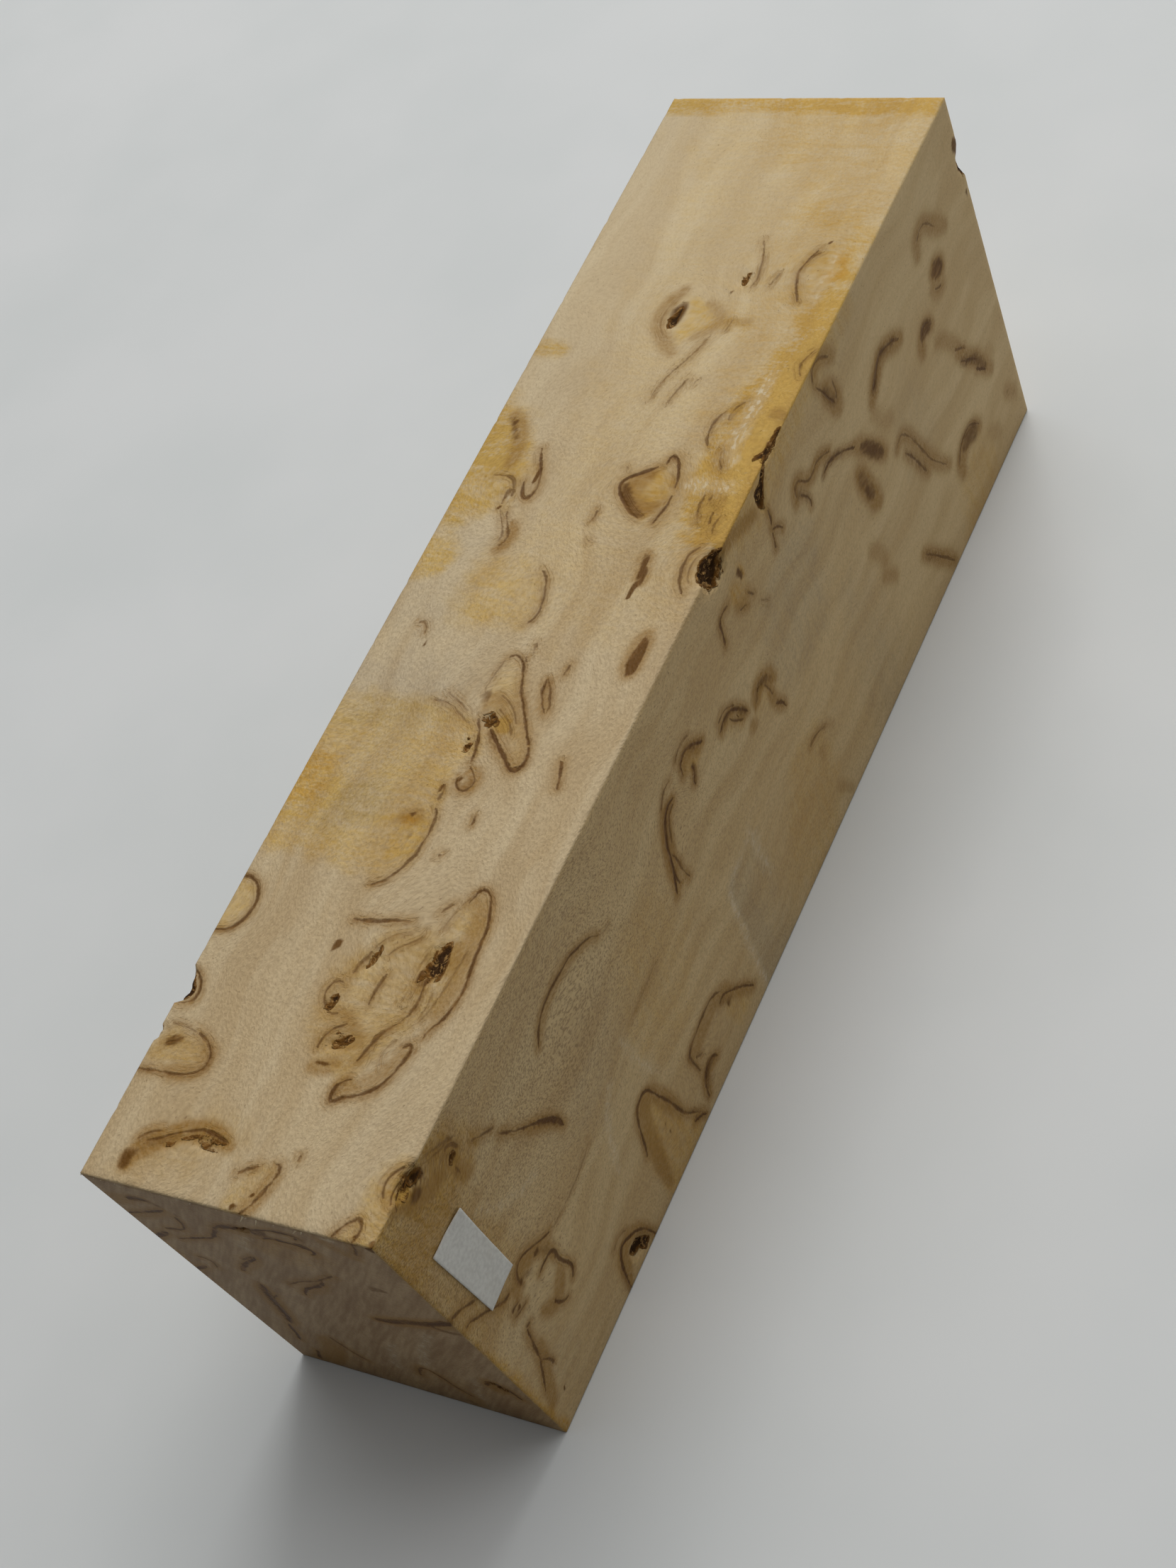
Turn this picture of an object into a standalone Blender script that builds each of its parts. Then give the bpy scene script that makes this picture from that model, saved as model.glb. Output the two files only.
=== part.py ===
"""A sawn block of masur birch, lying flat, with a bare paper label on its shaded side.

+Z is up, the block's length runs along Y with its nearer end at -Y, and the labelled side faces +X.
The origin is the middle of the block's footprint, on the surface that it lies on.
"""

import math

import bmesh
import bpy
import numpy as np
from mathutils import Matrix, Vector, noise

MM = 0.001

# Sawn size, measured through the middle of the block
LENGTH = 130.0 * MM
WIDTH = 31.0 * MM
HEIGHT = 43.4 * MM

# The faces are a degree or two out of square: metres of drift for each metre along the other axis
TOP_CLIMB = 0.018
TOP_TILT = 0.010
TAPER = 0.013
LEFT_LEAN = 0.003
RIGHT_LEAN = 0.006
NEAR_SKEW = 0.045
NEAR_LEAN = -0.032
FAR_SKEW = -0.006
FAR_LEAN = 0.014

# Paper label: its size, its centre on the right side, its turn, and the air behind it
LABEL_WIDTH = 4.4 * MM
LABEL_HEIGHT = 12.0 * MM
LABEL_THICKNESS = 0.2 * MM
LABEL_ALONG = 5.8 * MM
LABEL_UP = 28.1 * MM
LABEL_TURN = math.radians(2.5)
LABEL_GAP = 0.3 * MM

# How ragged the mouth of a pit is, and how coarse that raggedness is
RAGGED = 0.22
RAGGED_SIZE = 0.9

# How far the middle of a pit's ball stands above the wood, as a share of the pit's depth
PIT_LIFT = 0.17
CHIP_LIFT = 0.05

# Pits where dark bark grew into the wood, in millimetres on their face:
# along, across, mouth length, mouth width, depth, turn in degrees
TOP_PITS = [
    (25.3, 24.0, 3.6, 1.5, 0.9, -10),
    (24.4, 18.0, 1.9, 0.9, 0.5, 5),
    (19.5, 16.1, 1.5, 1.0, 0.5, -30),
    (16.3, 18.9, 2.7, 1.1, 0.7, 82),
    (4.2, 8.1, 1.8, 0.8, 0.5, 58),
    (4.8, 11.8, 3.0, 1.0, 0.6, 96),
    (49.4, 17.1, 2.0, 0.9, 0.6, -48),
    (46.6, 16.3, 2.0, 0.9, 0.5, -8),
    (98.8, 14.3, 3.0, 1.5, 0.9, -4),
    (104.6, 20.0, 2.3, 0.9, 0.5, -8),
]
RIGHT_PITS = [
    (10.5, 38.1, 1.3, 1.1, 0.5, 0),
    (19.6, 2.6, 3.0, 1.8, 0.9, -38),
    (63.0, 28.6, 2.6, 1.0, 0.6, -52),
    (67.8, 26.8, 2.4, 1.1, 0.5, -18),
    (78.7, 41.6, 2.8, 1.3, 0.7, 82),
    (94.8, 24.6, 4.2, 1.7, 0.5, -70),
    (119.2, 31.2, 2.4, 2.0, 0.6, -30),
]
LEFT_PITS = [
    (33.0, 15.0, 3.0, 1.3, 0.7, 35),
    (61.0, 27.5, 2.4, 1.2, 0.6, -40),
    (88.5, 11.0, 3.2, 1.4, 0.8, 15),
    (112.0, 30.0, 2.2, 1.1, 0.6, -60),
]
FAR_PITS = [
    (9.0, 31.0, 2.6, 1.1, 0.6, 50),
    (21.5, 14.5, 2.8, 1.2, 0.7, -35),
]
NEAR_PITS = [
    (15.6, 38.2, 2.2, 0.9, 0.5, 20),
    (27.4, 9.6, 2.6, 1.4, 0.5, -50),
]

# Chips and bark pockets broken open along an edge, in millimetres:
# along that edge, then half-lengths along the edge and into the two faces that meet there
TOP_LEFT_CHIPS = [
    (17.2, 1.75, 0.95, 1.5),
    (12.6, 0.85, 0.45, 0.6),
]
TOP_RIGHT_CHIPS = [
    (5.9, 1.9, 0.9, 1.5),
    (68.6, 2.3, 1.3, 2.4),
    (83.0, 2.3, 0.7, 0.6),
]
FAR_RIGHT_CHIPS = [
    (36.9, 1.9, 1.1, 0.8),
]


def plane(axis, offset, slopes):
    """The plane where one coordinate equals offset plus slopes times the other coordinates."""
    normal = [-slope for slope in slopes]
    normal[axis] = 1.0
    return normal, offset


def sawn_planes():
    """Six planes of the block, in a frame whose zero is the bottom left edge at the near end."""
    half = TAPER / 2
    return {
        "bottom": plane(2, 0.0, (0, 0, 0)),
        "top": plane(2, HEIGHT - TOP_CLIMB * LENGTH / 2 - TOP_TILT * WIDTH / 2, (TOP_TILT, TOP_CLIMB, 0)),
        "left": plane(0, half * LENGTH / 2 - LEFT_LEAN * HEIGHT / 2, (0, -half, LEFT_LEAN)),
        "right": plane(0, WIDTH - half * LENGTH / 2 - RIGHT_LEAN * HEIGHT / 2, (0, half, RIGHT_LEAN)),
        "near": plane(1, -NEAR_SKEW * WIDTH / 2 - NEAR_LEAN * HEIGHT / 2, (NEAR_SKEW, 0, NEAR_LEAN)),
        "far": plane(1, LENGTH - FAR_SKEW * WIDTH / 2 - FAR_LEAN * HEIGHT / 2, (FAR_SKEW, 0, FAR_LEAN)),
    }


PLANES = sawn_planes()


def meet(*names):
    """The point where three of the sawn planes meet."""
    normals = [PLANES[name][0] for name in names]
    offsets = [PLANES[name][1] for name in names]
    return Vector(np.linalg.solve(np.array(normals, float), np.array(offsets, float)))


CORNERS = {
    (side, end, lid): meet(side, end, lid)
    for side in ("left", "right")
    for end in ("near", "far")
    for lid in ("bottom", "top")
}


def footprint_middle():
    """The middle of the block's bounding box, on the surface below it."""
    xs = [corner.x for corner in CORNERS.values()]
    ys = [corner.y for corner in CORNERS.values()]
    return Vector(((min(xs) + max(xs)) / 2, (min(ys) + max(ys)) / 2, 0.0))


ORIGIN = footprint_middle()


def outward(name):
    """The unit normal of a sawn face, pointing out of the block."""
    normal = Vector(PLANES[name][0]).normalized()
    return -normal if name in ("bottom", "left", "near") else normal


def on_plane(name, point):
    """The point moved along its face's own axis until it lies on the sawn plane."""
    normal, offset = PLANES[name]
    axis = {"top": 2, "bottom": 2, "left": 0, "right": 0, "near": 1, "far": 1}[name]
    moved = Vector(point)
    moved[axis] = 0.0
    moved[axis] = offset - Vector(normal).dot(moved)
    return moved


def remove_everything():
    for thing in list(bpy.data.objects):
        bpy.data.objects.remove(thing, do_unlink=True)


def material(name, colour, roughness):
    made = bpy.data.materials.new(name)
    made.use_nodes = True
    shader = made.node_tree.nodes["Principled BSDF"]
    shader.inputs["Base Color"].default_value = (*colour, 1.0)
    shader.inputs["Roughness"].default_value = roughness
    shader.inputs["Metallic"].default_value = 0.0
    made.diffuse_color = (*colour, 1.0)
    return made


def add_object(name, shape, finish=None):
    """Puts a bmesh into the scene as one object, with its faces pointing outwards."""
    bmesh.ops.recalc_face_normals(shape, faces=shape.faces)
    mesh = bpy.data.meshes.new(name)
    shape.to_mesh(mesh)
    shape.free()
    if finish:
        mesh.materials.append(finish)
    thing = bpy.data.objects.new(name, mesh)
    bpy.context.collection.objects.link(thing)
    return thing


def sawn_solid():
    """The plain block: a cube whose corners move to where the sawn planes meet."""
    shape = bmesh.new()
    bmesh.ops.create_cube(shape, size=2.0)
    for vert in shape.verts:
        side = "right" if vert.co.x > 0 else "left"
        end = "far" if vert.co.y > 0 else "near"
        lid = "top" if vert.co.z > 0 else "bottom"
        vert.co = CORNERS[side, end, lid] - ORIGIN
    return shape


def ragged_ball(shape, frame, seed):
    """Adds a ball whose skin wanders in and out, then places it by the matrix."""
    made = bmesh.ops.create_icosphere(shape, subdivisions=2, radius=1.0)
    for vert in made["verts"]:
        wander = noise.noise(vert.co / RAGGED_SIZE + Vector((seed * 7.3, seed * 2.1, 0)))
        vert.co = frame @ (vert.co * (1.0 + RAGGED * wander))


def pit_frame(face, along, across, length, width, depth, turn):
    """Where a pit's ball sits: its long axis lies in the face, its short one is the face's normal."""
    spot = {
        "top": (across, along, 0),
        "left": (0, along, across),
        "right": (0, along, across),
        "near": (along, 0, across),
        "far": (along, 0, across),
    }[face]
    normal = outward(face)
    centre = on_plane(face, Vector(spot) * MM) - ORIGIN + normal * (PIT_LIFT * depth * MM)
    first = Vector((1, 0, 0)) if face in ("near", "far") else Vector((0, 1, 0))
    second = Vector((1, 0, 0)) if face == "top" else Vector((0, 0, 1))
    angle = math.radians(turn)
    long_way = first * math.cos(angle) + second * math.sin(angle)
    long_way = (long_way - normal * long_way.dot(normal)).normalized()
    wide_way = normal.cross(long_way)
    half_sizes = (length / 2 * MM, width / 2 * MM, depth * MM)
    frame = Matrix([axis * size for axis, size in zip((long_way, wide_way, normal), half_sizes)])
    return Matrix.Translation(centre) @ frame.transposed().to_4x4()


def chip_frame(side, lid, along, half_length, into_side, into_lid):
    """Where an edge chip's ball sits: centred on the edge that two sawn planes share."""
    if lid == "top":
        start, stop = CORNERS[side, "near", "top"], CORNERS[side, "far", "top"]
        share = (along * MM - start.y) / (stop.y - start.y)
        sizes = Vector((into_side, half_length, into_lid))
    else:
        start, stop = CORNERS[side, "far", "bottom"], CORNERS[side, "far", "top"]
        share = along * MM / stop.z
        sizes = Vector((into_lid, into_side, half_length))
    centre = start.lerp(stop, share) - ORIGIN + sizes * (CHIP_LIFT * MM)
    return Matrix.Translation(centre) @ Matrix.Diagonal((*(sizes * MM), 1.0))


def bark_pockets():
    """Every pit and chip as one set of closed balls that the block is cut with."""
    shape = bmesh.new()
    seed = 0
    faces = {
        "top": TOP_PITS,
        "right": RIGHT_PITS,
        "left": LEFT_PITS,
        "near": NEAR_PITS,
        "far": FAR_PITS,
    }
    for face, pits in faces.items():
        for pit in pits:
            seed += 1
            ragged_ball(shape, pit_frame(face, *pit), seed)
    edges = {
        ("left", "top"): TOP_LEFT_CHIPS,
        ("right", "top"): TOP_RIGHT_CHIPS,
        ("right", "far"): FAR_RIGHT_CHIPS,
    }
    for (side, lid), chips in edges.items():
        for chip in chips:
            seed += 1
            ragged_ball(shape, chip_frame(side, lid, *chip), seed)
    pockets = add_object("bark_pockets", shape)
    pockets.hide_render = True
    pockets.display_type = "WIRE"
    return pockets


def birch_block():
    """The one piece of wood, with its bark pockets and broken edges cut out."""
    finish = material("masur_birch", (0.56, 0.41, 0.26), 0.62)
    block = add_object("birch_block", sawn_solid(), finish)
    cut = block.modifiers.new("bark pockets", "BOOLEAN")
    cut.operation = "DIFFERENCE"
    cut.solver = "EXACT"
    cut.object = bark_pockets()
    return block


def paper_label():
    """A bare paper label, a thin plate that lies along the right side near the block's near end."""
    shape = bmesh.new()
    bmesh.ops.create_cube(shape, size=1.0)
    size = Vector((LABEL_THICKNESS, LABEL_WIDTH, LABEL_HEIGHT))
    bmesh.ops.scale(shape, vec=size, verts=shape.verts)
    label = add_object("paper_label", shape, material("label_paper", (0.78, 0.79, 0.80), 0.55))
    normal = outward("right")
    centre = on_plane("right", (0.0, LABEL_ALONG, LABEL_UP)) - ORIGIN
    turn = Matrix.Rotation(LABEL_TURN, 4, "X")
    label.rotation_mode = "QUATERNION"
    label.rotation_quaternion = Vector((1, 0, 0)).rotation_difference(normal) @ turn.to_quaternion()
    label.location = centre + normal * (LABEL_GAP + LABEL_THICKNESS / 2)
    return label


remove_everything()
birch_block()
paper_label()
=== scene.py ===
# %% [markdown]
# A block of masur birch
#
# Masur birch is ordinary birch whose wood is full of small bark pockets. Where a saw cuts through them they
# show as brown loops, spindles, curls and pits in cream-coloured wood. This lesson dresses the plain sawn
# solid: one fine mesh for the wood, whose marks are worked out with numpy from a few listed curves,
# and one thin paper label.

# %% Load the frame
import math

import bpy
import numpy as np
from mathutils import Matrix, Vector


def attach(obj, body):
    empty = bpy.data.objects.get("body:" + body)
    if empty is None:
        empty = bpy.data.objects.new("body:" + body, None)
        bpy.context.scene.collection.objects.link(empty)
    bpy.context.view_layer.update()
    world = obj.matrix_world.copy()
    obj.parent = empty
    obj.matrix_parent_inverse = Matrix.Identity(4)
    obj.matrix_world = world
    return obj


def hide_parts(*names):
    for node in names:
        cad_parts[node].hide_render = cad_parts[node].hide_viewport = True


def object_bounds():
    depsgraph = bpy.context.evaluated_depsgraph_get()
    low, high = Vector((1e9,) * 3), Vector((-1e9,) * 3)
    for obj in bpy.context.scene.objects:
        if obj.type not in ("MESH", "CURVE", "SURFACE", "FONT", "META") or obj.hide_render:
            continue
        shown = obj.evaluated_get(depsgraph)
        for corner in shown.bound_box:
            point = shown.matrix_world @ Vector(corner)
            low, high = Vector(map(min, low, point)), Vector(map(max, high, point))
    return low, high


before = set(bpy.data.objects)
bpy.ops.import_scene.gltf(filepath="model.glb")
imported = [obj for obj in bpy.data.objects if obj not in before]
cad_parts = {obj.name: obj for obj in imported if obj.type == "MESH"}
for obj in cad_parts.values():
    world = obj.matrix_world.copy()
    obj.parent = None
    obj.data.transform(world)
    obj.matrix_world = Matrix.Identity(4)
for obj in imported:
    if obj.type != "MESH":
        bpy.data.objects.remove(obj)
cad_low, cad_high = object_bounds()
MM = 0.001
print("CAD box, mm:", [round(side / MM, 2) for side in cad_high - cad_low])

# %% [markdown]
# Camera
#
# The photograph looks steeply down on the block from beside its near end, with the camera rolled a little.
# Its place was worked out from the block's seven visible corners. The lens is a phone's, and its length is
# given for a 36 mm picture height.

# %% Camera
EYE = Vector((113.74, -106.16, 188.69)) * MM
LOOK = Vector((-0.5084, 0.4372, -0.7419))
UP = Vector((-0.1527, 0.8021, 0.5774))
LENS = 52.48


def add_camera():
    """Right is look x up, and the camera looks down its own -Z, so its axes are right, up and -look."""
    lens = bpy.data.cameras.new("camera")
    lens.lens = LENS
    lens.sensor_width = 36.0
    lens.clip_start = 0.01
    lens.clip_end = 10.0
    camera = bpy.data.objects.new("camera", lens)
    bpy.context.scene.collection.objects.link(camera)
    right = LOOK.cross(UP).normalized()
    up = right.cross(LOOK).normalized()
    axes = Matrix((right, up, -LOOK.normalized())).transposed()
    camera.matrix_world = Matrix.Translation(EYE) @ axes.to_4x4()
    bpy.context.scene.camera = camera
    return camera


camera = add_camera()
print(camera.name, "stands", round(EYE.length / MM), "mm from the middle of the block's footprint")

# %% [markdown]
# Measuring grid
#
# Every mark on the wood is placed in millimetres on the face that it lies on. The grid's zero is at the
# bottom left corner of the near end, and x runs across the block, y along it and z up. The eight corners are
# read from the CAD node, because the block is a degree or two out of square.

# %% Corners and grid
GRID_AT_CORNER = np.array([0.36, 0.01, 0.0])
FACES = ("top", "right", "near", "left", "far", "bottom")
FACE_AXES = {"top": (1, 0), "bottom": (1, 0), "left": (1, 2), "right": (1, 2), "near": (0, 2), "far": (0, 2)}


def node_points(name):
    """All points of a CAD node's mesh as one array."""
    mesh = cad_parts[name].data
    points = np.empty(len(mesh.vertices) * 3, np.float32)
    mesh.vertices.foreach_get("co", points)
    return points.reshape(-1, 3).astype(float)


def outer_corners(points):
    """In each of the eight diagonal directions, the point that reaches furthest."""
    signs = np.array([(x, y, z) for x in (-1, 1) for y in (-1, 1) for z in (-1, 1)])
    return points[np.argmax(points @ signs.T, axis=0)].reshape(2, 2, 2, 3)


corners = outer_corners(node_points("birch_block"))
grid_zero = corners[0, 0, 0] - GRID_AT_CORNER * MM
neighbours = ((1, 0, 0), (0, 1, 0), (0, 0, 1))
sizes = [np.linalg.norm(corners[corner] - corners[0, 0, 0]) for corner in neighbours]
print("edges at the near bottom corner, mm:", np.round(np.array(sizes) / MM, 2))

# %% [markdown]
# The wood's mesh
#
# One closed mesh stands for the whole block, because it is one piece of wood. It is the outside of a lattice
# of cells. A point of the lattice is a mix of the eight corners, so the six sides stay flat and stay where
# the CAD puts them. The outermost row of cells is narrow, which lets the sawn edges be a little rounded.

# %% Lattice shell
CELLS = (68, 270, 88)
RIM = 0.22
NEARER_FINER = 0.18


def stations(count, size, rim, grade=0.0):
    """Places from 0 to 1: a narrow cell at each end, and between them cells that grow along the way."""
    along = np.linspace(0.0, 1.0, count - 1)
    along = along + grade * (along * along - along)
    return np.concatenate([[0.0], rim + (size - 2 * rim) * along, [size]]) / size


def shell(count):
    """Numbers the lattice points on the outside, and lists the outward four-sided cells of each side."""
    outside = np.zeros([n + 1 for n in count], bool)
    outside[[0, -1]] = outside[:, [0, -1]] = outside[:, :, [0, -1]] = True
    number = np.full(outside.shape, -1)
    number[outside] = np.arange(outside.sum())
    sheets = {
        "left": (number[0], True), "right": (number[-1], False),
        "near": (number[:, 0], False), "far": (number[:, -1], True),
        "bottom": (number[:, :, 0], True), "top": (number[:, :, -1], False),
    }
    cells = {}
    for side, (sheet, turned) in sheets.items():
        ring = np.stack([sheet[:-1, :-1], sheet[1:, :-1], sheet[1:, 1:], sheet[:-1, 1:]], -1).reshape(-1, 4)
        cells[side] = ring[:, ::-1] if turned else ring
    return np.argwhere(outside), cells


def between_corners(box, u, v, w):
    """Each point is the eight corners' mean, weighted by its share of the way along the three directions."""
    shares = [np.stack([1 - share, share]) for share in (u, v, w)]
    return np.einsum("in,jn,kn,ijkc->nc", *shares, box)


def mesh_object(name, points, faces, smooth=True):
    """Puts points (metres) and four-sided faces into a new mesh object at the origin."""
    mesh = bpy.data.meshes.new(name)
    mesh.from_pydata(points.tolist(), [], faces.tolist())
    mesh.update()
    mesh.shade_smooth() if smooth else mesh.shade_flat()
    thing = bpy.data.objects.new(name, mesh)
    bpy.context.scene.collection.objects.link(thing)
    return thing


steps, side_cells = shell(CELLS)
ways = [stations(n, size / MM, RIM, grade) for n, size, grade in zip(CELLS, sizes, (0, NEARER_FINER, 0))]
wood = between_corners(corners, *(way[step] for way, step in zip(ways, steps.T)))
grid = (wood - grid_zero) / MM
print("wood shell:", len(wood), "points,", 2 * sum(map(len, side_cells.values())), "triangles")

# %% [markdown]
# Which side a point is on
#
# Points on an edge belong to two sides. For the marks each point is owned by one of them, so that its values
# are written once.

# %% Sides and their points
last = np.array(CELLS)
ON_SIDE = {
    "left": steps[:, 0] == 0, "right": steps[:, 0] == last[0],
    "near": steps[:, 1] == 0, "far": steps[:, 1] == last[1],
    "bottom": steps[:, 2] == 0, "top": steps[:, 2] == last[2],
}
owner = np.full(len(wood), "", dtype="<U6")
for side in reversed(FACES):
    owner[ON_SIDE[side]] = side
owned = {side: np.flatnonzero(owner == side) for side in FACES}


def side_normal(side):
    """The unit normal of a flat side, from the cross product of its first cell's diagonals."""
    a, b, c, d = wood[side_cells[side][0]]
    normal = np.cross(c - a, d - b)
    return normal / np.linalg.norm(normal)


NORMALS = {side: side_normal(side) for side in FACES}
print("points owned by each side:", {side: len(found) for side, found in owned.items()})

# %% [markdown]
# Drawing with distances
#
# A brown line about 0.3 mm wide is finer than the mesh, so it can't be painted as a colour on the points.
# Each point instead keeps its signed distance to the nearest line: positive on one side and negative on the
# other. Between two points the distance passes through zero exactly where the line runs, and the shader
# paints wherever it is smaller than half the line's width. Lines that run close together use different
# channels, so that one line's distance never turns into its neighbour's.
#
# Soft marks are simpler. A spot, a stroke or an area raises an amount on the points, and where two of them
# overlap the larger amount stays.

# %% Curves and distances
SPAN_STEPS = 7
REACH = 1.6


def smooth_curve(points, closed=False):
    """A Catmull-Rom curve: a cubic between each two points, which has the slope of their neighbours' chord."""
    p = np.asarray(points, float)
    if closed:
        p = np.concatenate([p[-1:], p, p[:2]])
    else:
        p = np.concatenate([[2 * p[0] - p[1]], p, [2 * p[-1] - p[-2]]])
    t = (np.arange(SPAN_STEPS) / SPAN_STEPS)[None, :, None]
    a, b, c, d = (p[k:len(p) - 3 + k, None] for k in range(4))
    bend, twist = 2 * a - 5 * b + 4 * c - d, 3 * b - a - 3 * c + d
    curve = 0.5 * (2 * b + (c - a) * t + bend * t ** 2 + twist * t ** 3)
    return np.concatenate([curve.reshape(-1, 2), p[-2:-1]])


def to_curve(spots, curve):
    """For each spot: its distance to the curve, signed by side, its share of the way along, and how far it
    lies beyond an end of the curve."""
    start, run = curve[:-1], np.diff(curve, axis=0)
    length = np.maximum(np.linalg.norm(run, axis=1), 1e-9)
    off = spots[:, None] - start
    share = np.clip((off * run).sum(-1) / length ** 2, 0, 1)
    off = off - share[..., None] * run
    gap = np.linalg.norm(off, axis=-1)
    nearest = gap.argmin(1)
    row = np.arange(len(spots))
    gap, off, share, run = gap[row, nearest], off[row, nearest], share[row, nearest], run[nearest]
    side = np.where(run[:, 0] * off[:, 1] - run[:, 1] * off[:, 0] < 0, -1.0, 1.0)
    travelled = np.concatenate([[0], np.cumsum(length)])
    along = (travelled[nearest] + share * length[nearest]) / travelled[-1]
    at_end = (along <= 0) | (along >= 1)
    beyond = np.where(at_end, np.abs((off * run).sum(-1)) / length[nearest], 0.0)
    return side * gap, along, beyond


# %% Fields that the marks are drawn into
LINE_CHANNELS = ("line_a", "line_b", "line_c")
FAR_AWAY = 9.0
count = len(wood)
lines = np.zeros((len(LINE_CHANNELS), count, 3))
lines[..., 0] = FAR_AWAY
lines[..., 1] = -1.0
best = np.full((len(LINE_CHANNELS), count), FAR_AWAY)
soft = {name: np.zeros(count) for name in ("halo", "brown", "amber", "yellow", "slate", "pale")}
bark_depth = np.full(count, -REACH)
drawn = {side: [[] for _ in LINE_CHANNELS] for side in FACES}


def places(text):
    """Pairs of millimetres, written as "3,5.2 3.6,6.5", as an array."""
    return np.array([[float(number) for number in pair.split(",")] for pair in text.split()])


def rows(table):
    """Reads a table of marks. In each row the words and numbers come first and then the places, as one array.
    A row that starts with # is a remark, and a long row goes on after a backslash."""
    found = []
    for row in table.strip().splitlines():
        if not row.startswith("#"):
            words = row.split()
            head = [word if word.isalpha() else float(word) for word in words if "," not in word]
            pairs = [word for word in words if "," in word]
            found.append((*head, places(" ".join(pairs))) if pairs else tuple(head))
    return found


def waves(points, size, seed):
    """A smooth random field from about -1 to 1: sine waves about size mm long, in seeded random headings."""
    number = 9
    draw = np.random.default_rng(seed)
    headings = draw.normal(size=(number, 3))
    headings /= np.linalg.norm(headings, axis=1, keepdims=True)
    turns = headings * draw.uniform(0.6, 1.7, (number, 1)) / size
    phases = draw.uniform(0, 2 * np.pi, number)
    return np.sin(2 * np.pi * points @ turns.T + phases).sum(1) / math.sqrt(2 * number)


spots_on = {side: grid[owned[side]][:, FACE_AXES[side]] for side in FACES}
wander = {side: waves(grid[owned[side]], size=2.4, seed=5) for side in FACES}


def free_channel(side, curve):
    """The channel whose lines on this side lie furthest from the new curve, or the first that is clear."""
    room = []
    for others in drawn[side]:
        gaps = [np.linalg.norm(curve[:, None] - other, axis=-1).min() for other in others]
        room.append(min(gaps, default=FAR_AWAY))
        if room[-1] > 2 * REACH:
            break
    return int(np.argmax(room))


def close_to(side, curve, room):
    """Which of a side's points lie in the curve's box, widened by room mm."""
    low, high = curve.min(0) - room, curve.max(0) + room
    return np.flatnonzero(((spots_on[side] > low) & (spots_on[side] < high)).all(1))


def lift(field, where, value):
    """Keeps the larger of what a field has and the new value, so marks may overlap in any order."""
    field[where] = np.maximum(field[where], value)


BOLDER = 0.92
GLOW_WIDTH = 0.6
SWELL_RATE = 6
THINNEST = 0.3
FADE_FROM = 0.5
FADE_RATE = 1.5


def line(side, half, tone, points, halo=0.75):
    """A bark line: half its width in mm, its darkness, and a brown glow that fades beside it. Its width
    swells from little at the ends, and is negative past them, so nothing is painted there."""
    half = half * BOLDER
    curve = smooth_curve(points)
    found = close_to(side, curve, REACH)
    if not len(found):
        return
    signed, along, beyond = to_curve(spots_on[side][found], curve)
    swell = np.clip(np.minimum(along, 1 - along) * SWELL_RATE + THINNEST, 0, 1)
    width = half * swell - beyond - FADE_RATE * np.maximum(0, np.abs(signed) - FADE_FROM)
    where = owned[side][found]
    glow = halo * tone * np.exp(-(np.maximum(0, np.hypot(signed, beyond) - half) / GLOW_WIDTH) ** 2)
    lift(soft["halo"], where, glow)
    channel = free_channel(side, curve)
    drawn[side][channel].append(curve)
    better = (np.abs(signed) < REACH) & (np.abs(signed) + beyond - half < best[channel][where])
    where, signed, width, beyond = where[better], signed[better], width[better], beyond[better]
    best[channel][where] = np.abs(signed) + beyond - half
    lines[channel][where] = np.stack([signed, width, np.full(len(where), tone)], 1)


def inside_depth(spots, outline):
    """Distance to a closed outline, positive inside it: a spot is inside if a ray to its right crosses the
    outline an odd number of times."""
    gap = np.abs(to_curve(spots, outline)[0])
    (x, y), (x2, y2) = outline[:-1].T, outline[1:].T
    px, py = spots[:, :1], spots[:, 1:]
    rise = np.where(y2 == y, 1e-9, y2 - y)
    crossings = (((y > py) != (y2 > py)) & (px < x + (py - y) / rise * (x2 - x))).sum(1)
    return np.where(crossings % 2 == 1, gap, -gap)


FULL_TO = 1.1
SPOT_WANDER = 0.12
AREA_WANDER = 0.35


def spot(side, kind, amount, along, across, length, width, turn=0.0, edge=0.5):
    """A lens or round stain: full in its middle, and fading over the share edge of its radius."""
    angle = math.radians(turn)
    off = spots_on[side] - (along, across)
    u = off @ (math.cos(angle), math.sin(angle)) / (length / 2)
    v = off @ (-math.sin(angle), math.cos(angle)) / (width / 2)
    value = amount * np.clip((FULL_TO + SPOT_WANDER * wander[side] - np.hypot(u, v)) / edge, 0, 1)
    lift(soft[kind], owned[side], value)


def area(side, kind, amount, edge, points):
    """A stained or shaded area: full inside its outline, and fading over edge mm at its border."""
    depth = inside_depth(spots_on[side], smooth_curve(points, closed=True))
    depth = depth + AREA_WANDER * edge * wander[side]
    lift(soft[kind], owned[side], amount * np.clip(depth / edge + 0.5, 0, 1))


STROKE_EDGE = 0.45
STROKE_SWELL_RATE = 4
STROKE_THINNEST = 0.35


def stroke(side, kind, amount, half, points, edge=STROKE_EDGE):
    """A soft stain along a curve: full within half mm of it, and fading as a bell curve edge mm wide."""
    curve = smooth_curve(points)
    found = close_to(side, curve, 3 * edge + half)
    signed, along, beyond = to_curve(spots_on[side][found], curve)
    swell = np.clip(np.minimum(along, 1 - along) * STROKE_SWELL_RATE + STROKE_THINNEST, 0, 1)
    value = amount * np.exp(-(np.maximum(0, np.hypot(signed, beyond) - half * swell) / edge) ** 2)
    lift(soft[kind], owned[side][found], value)


def bark(side, points):
    """A pocket of dark bark inside an outline."""
    outline = smooth_curve(points, closed=True)
    found = close_to(side, outline, REACH)
    lift(bark_depth, owned[side][found], inside_depth(spots_on[side][found], outline))


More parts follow.
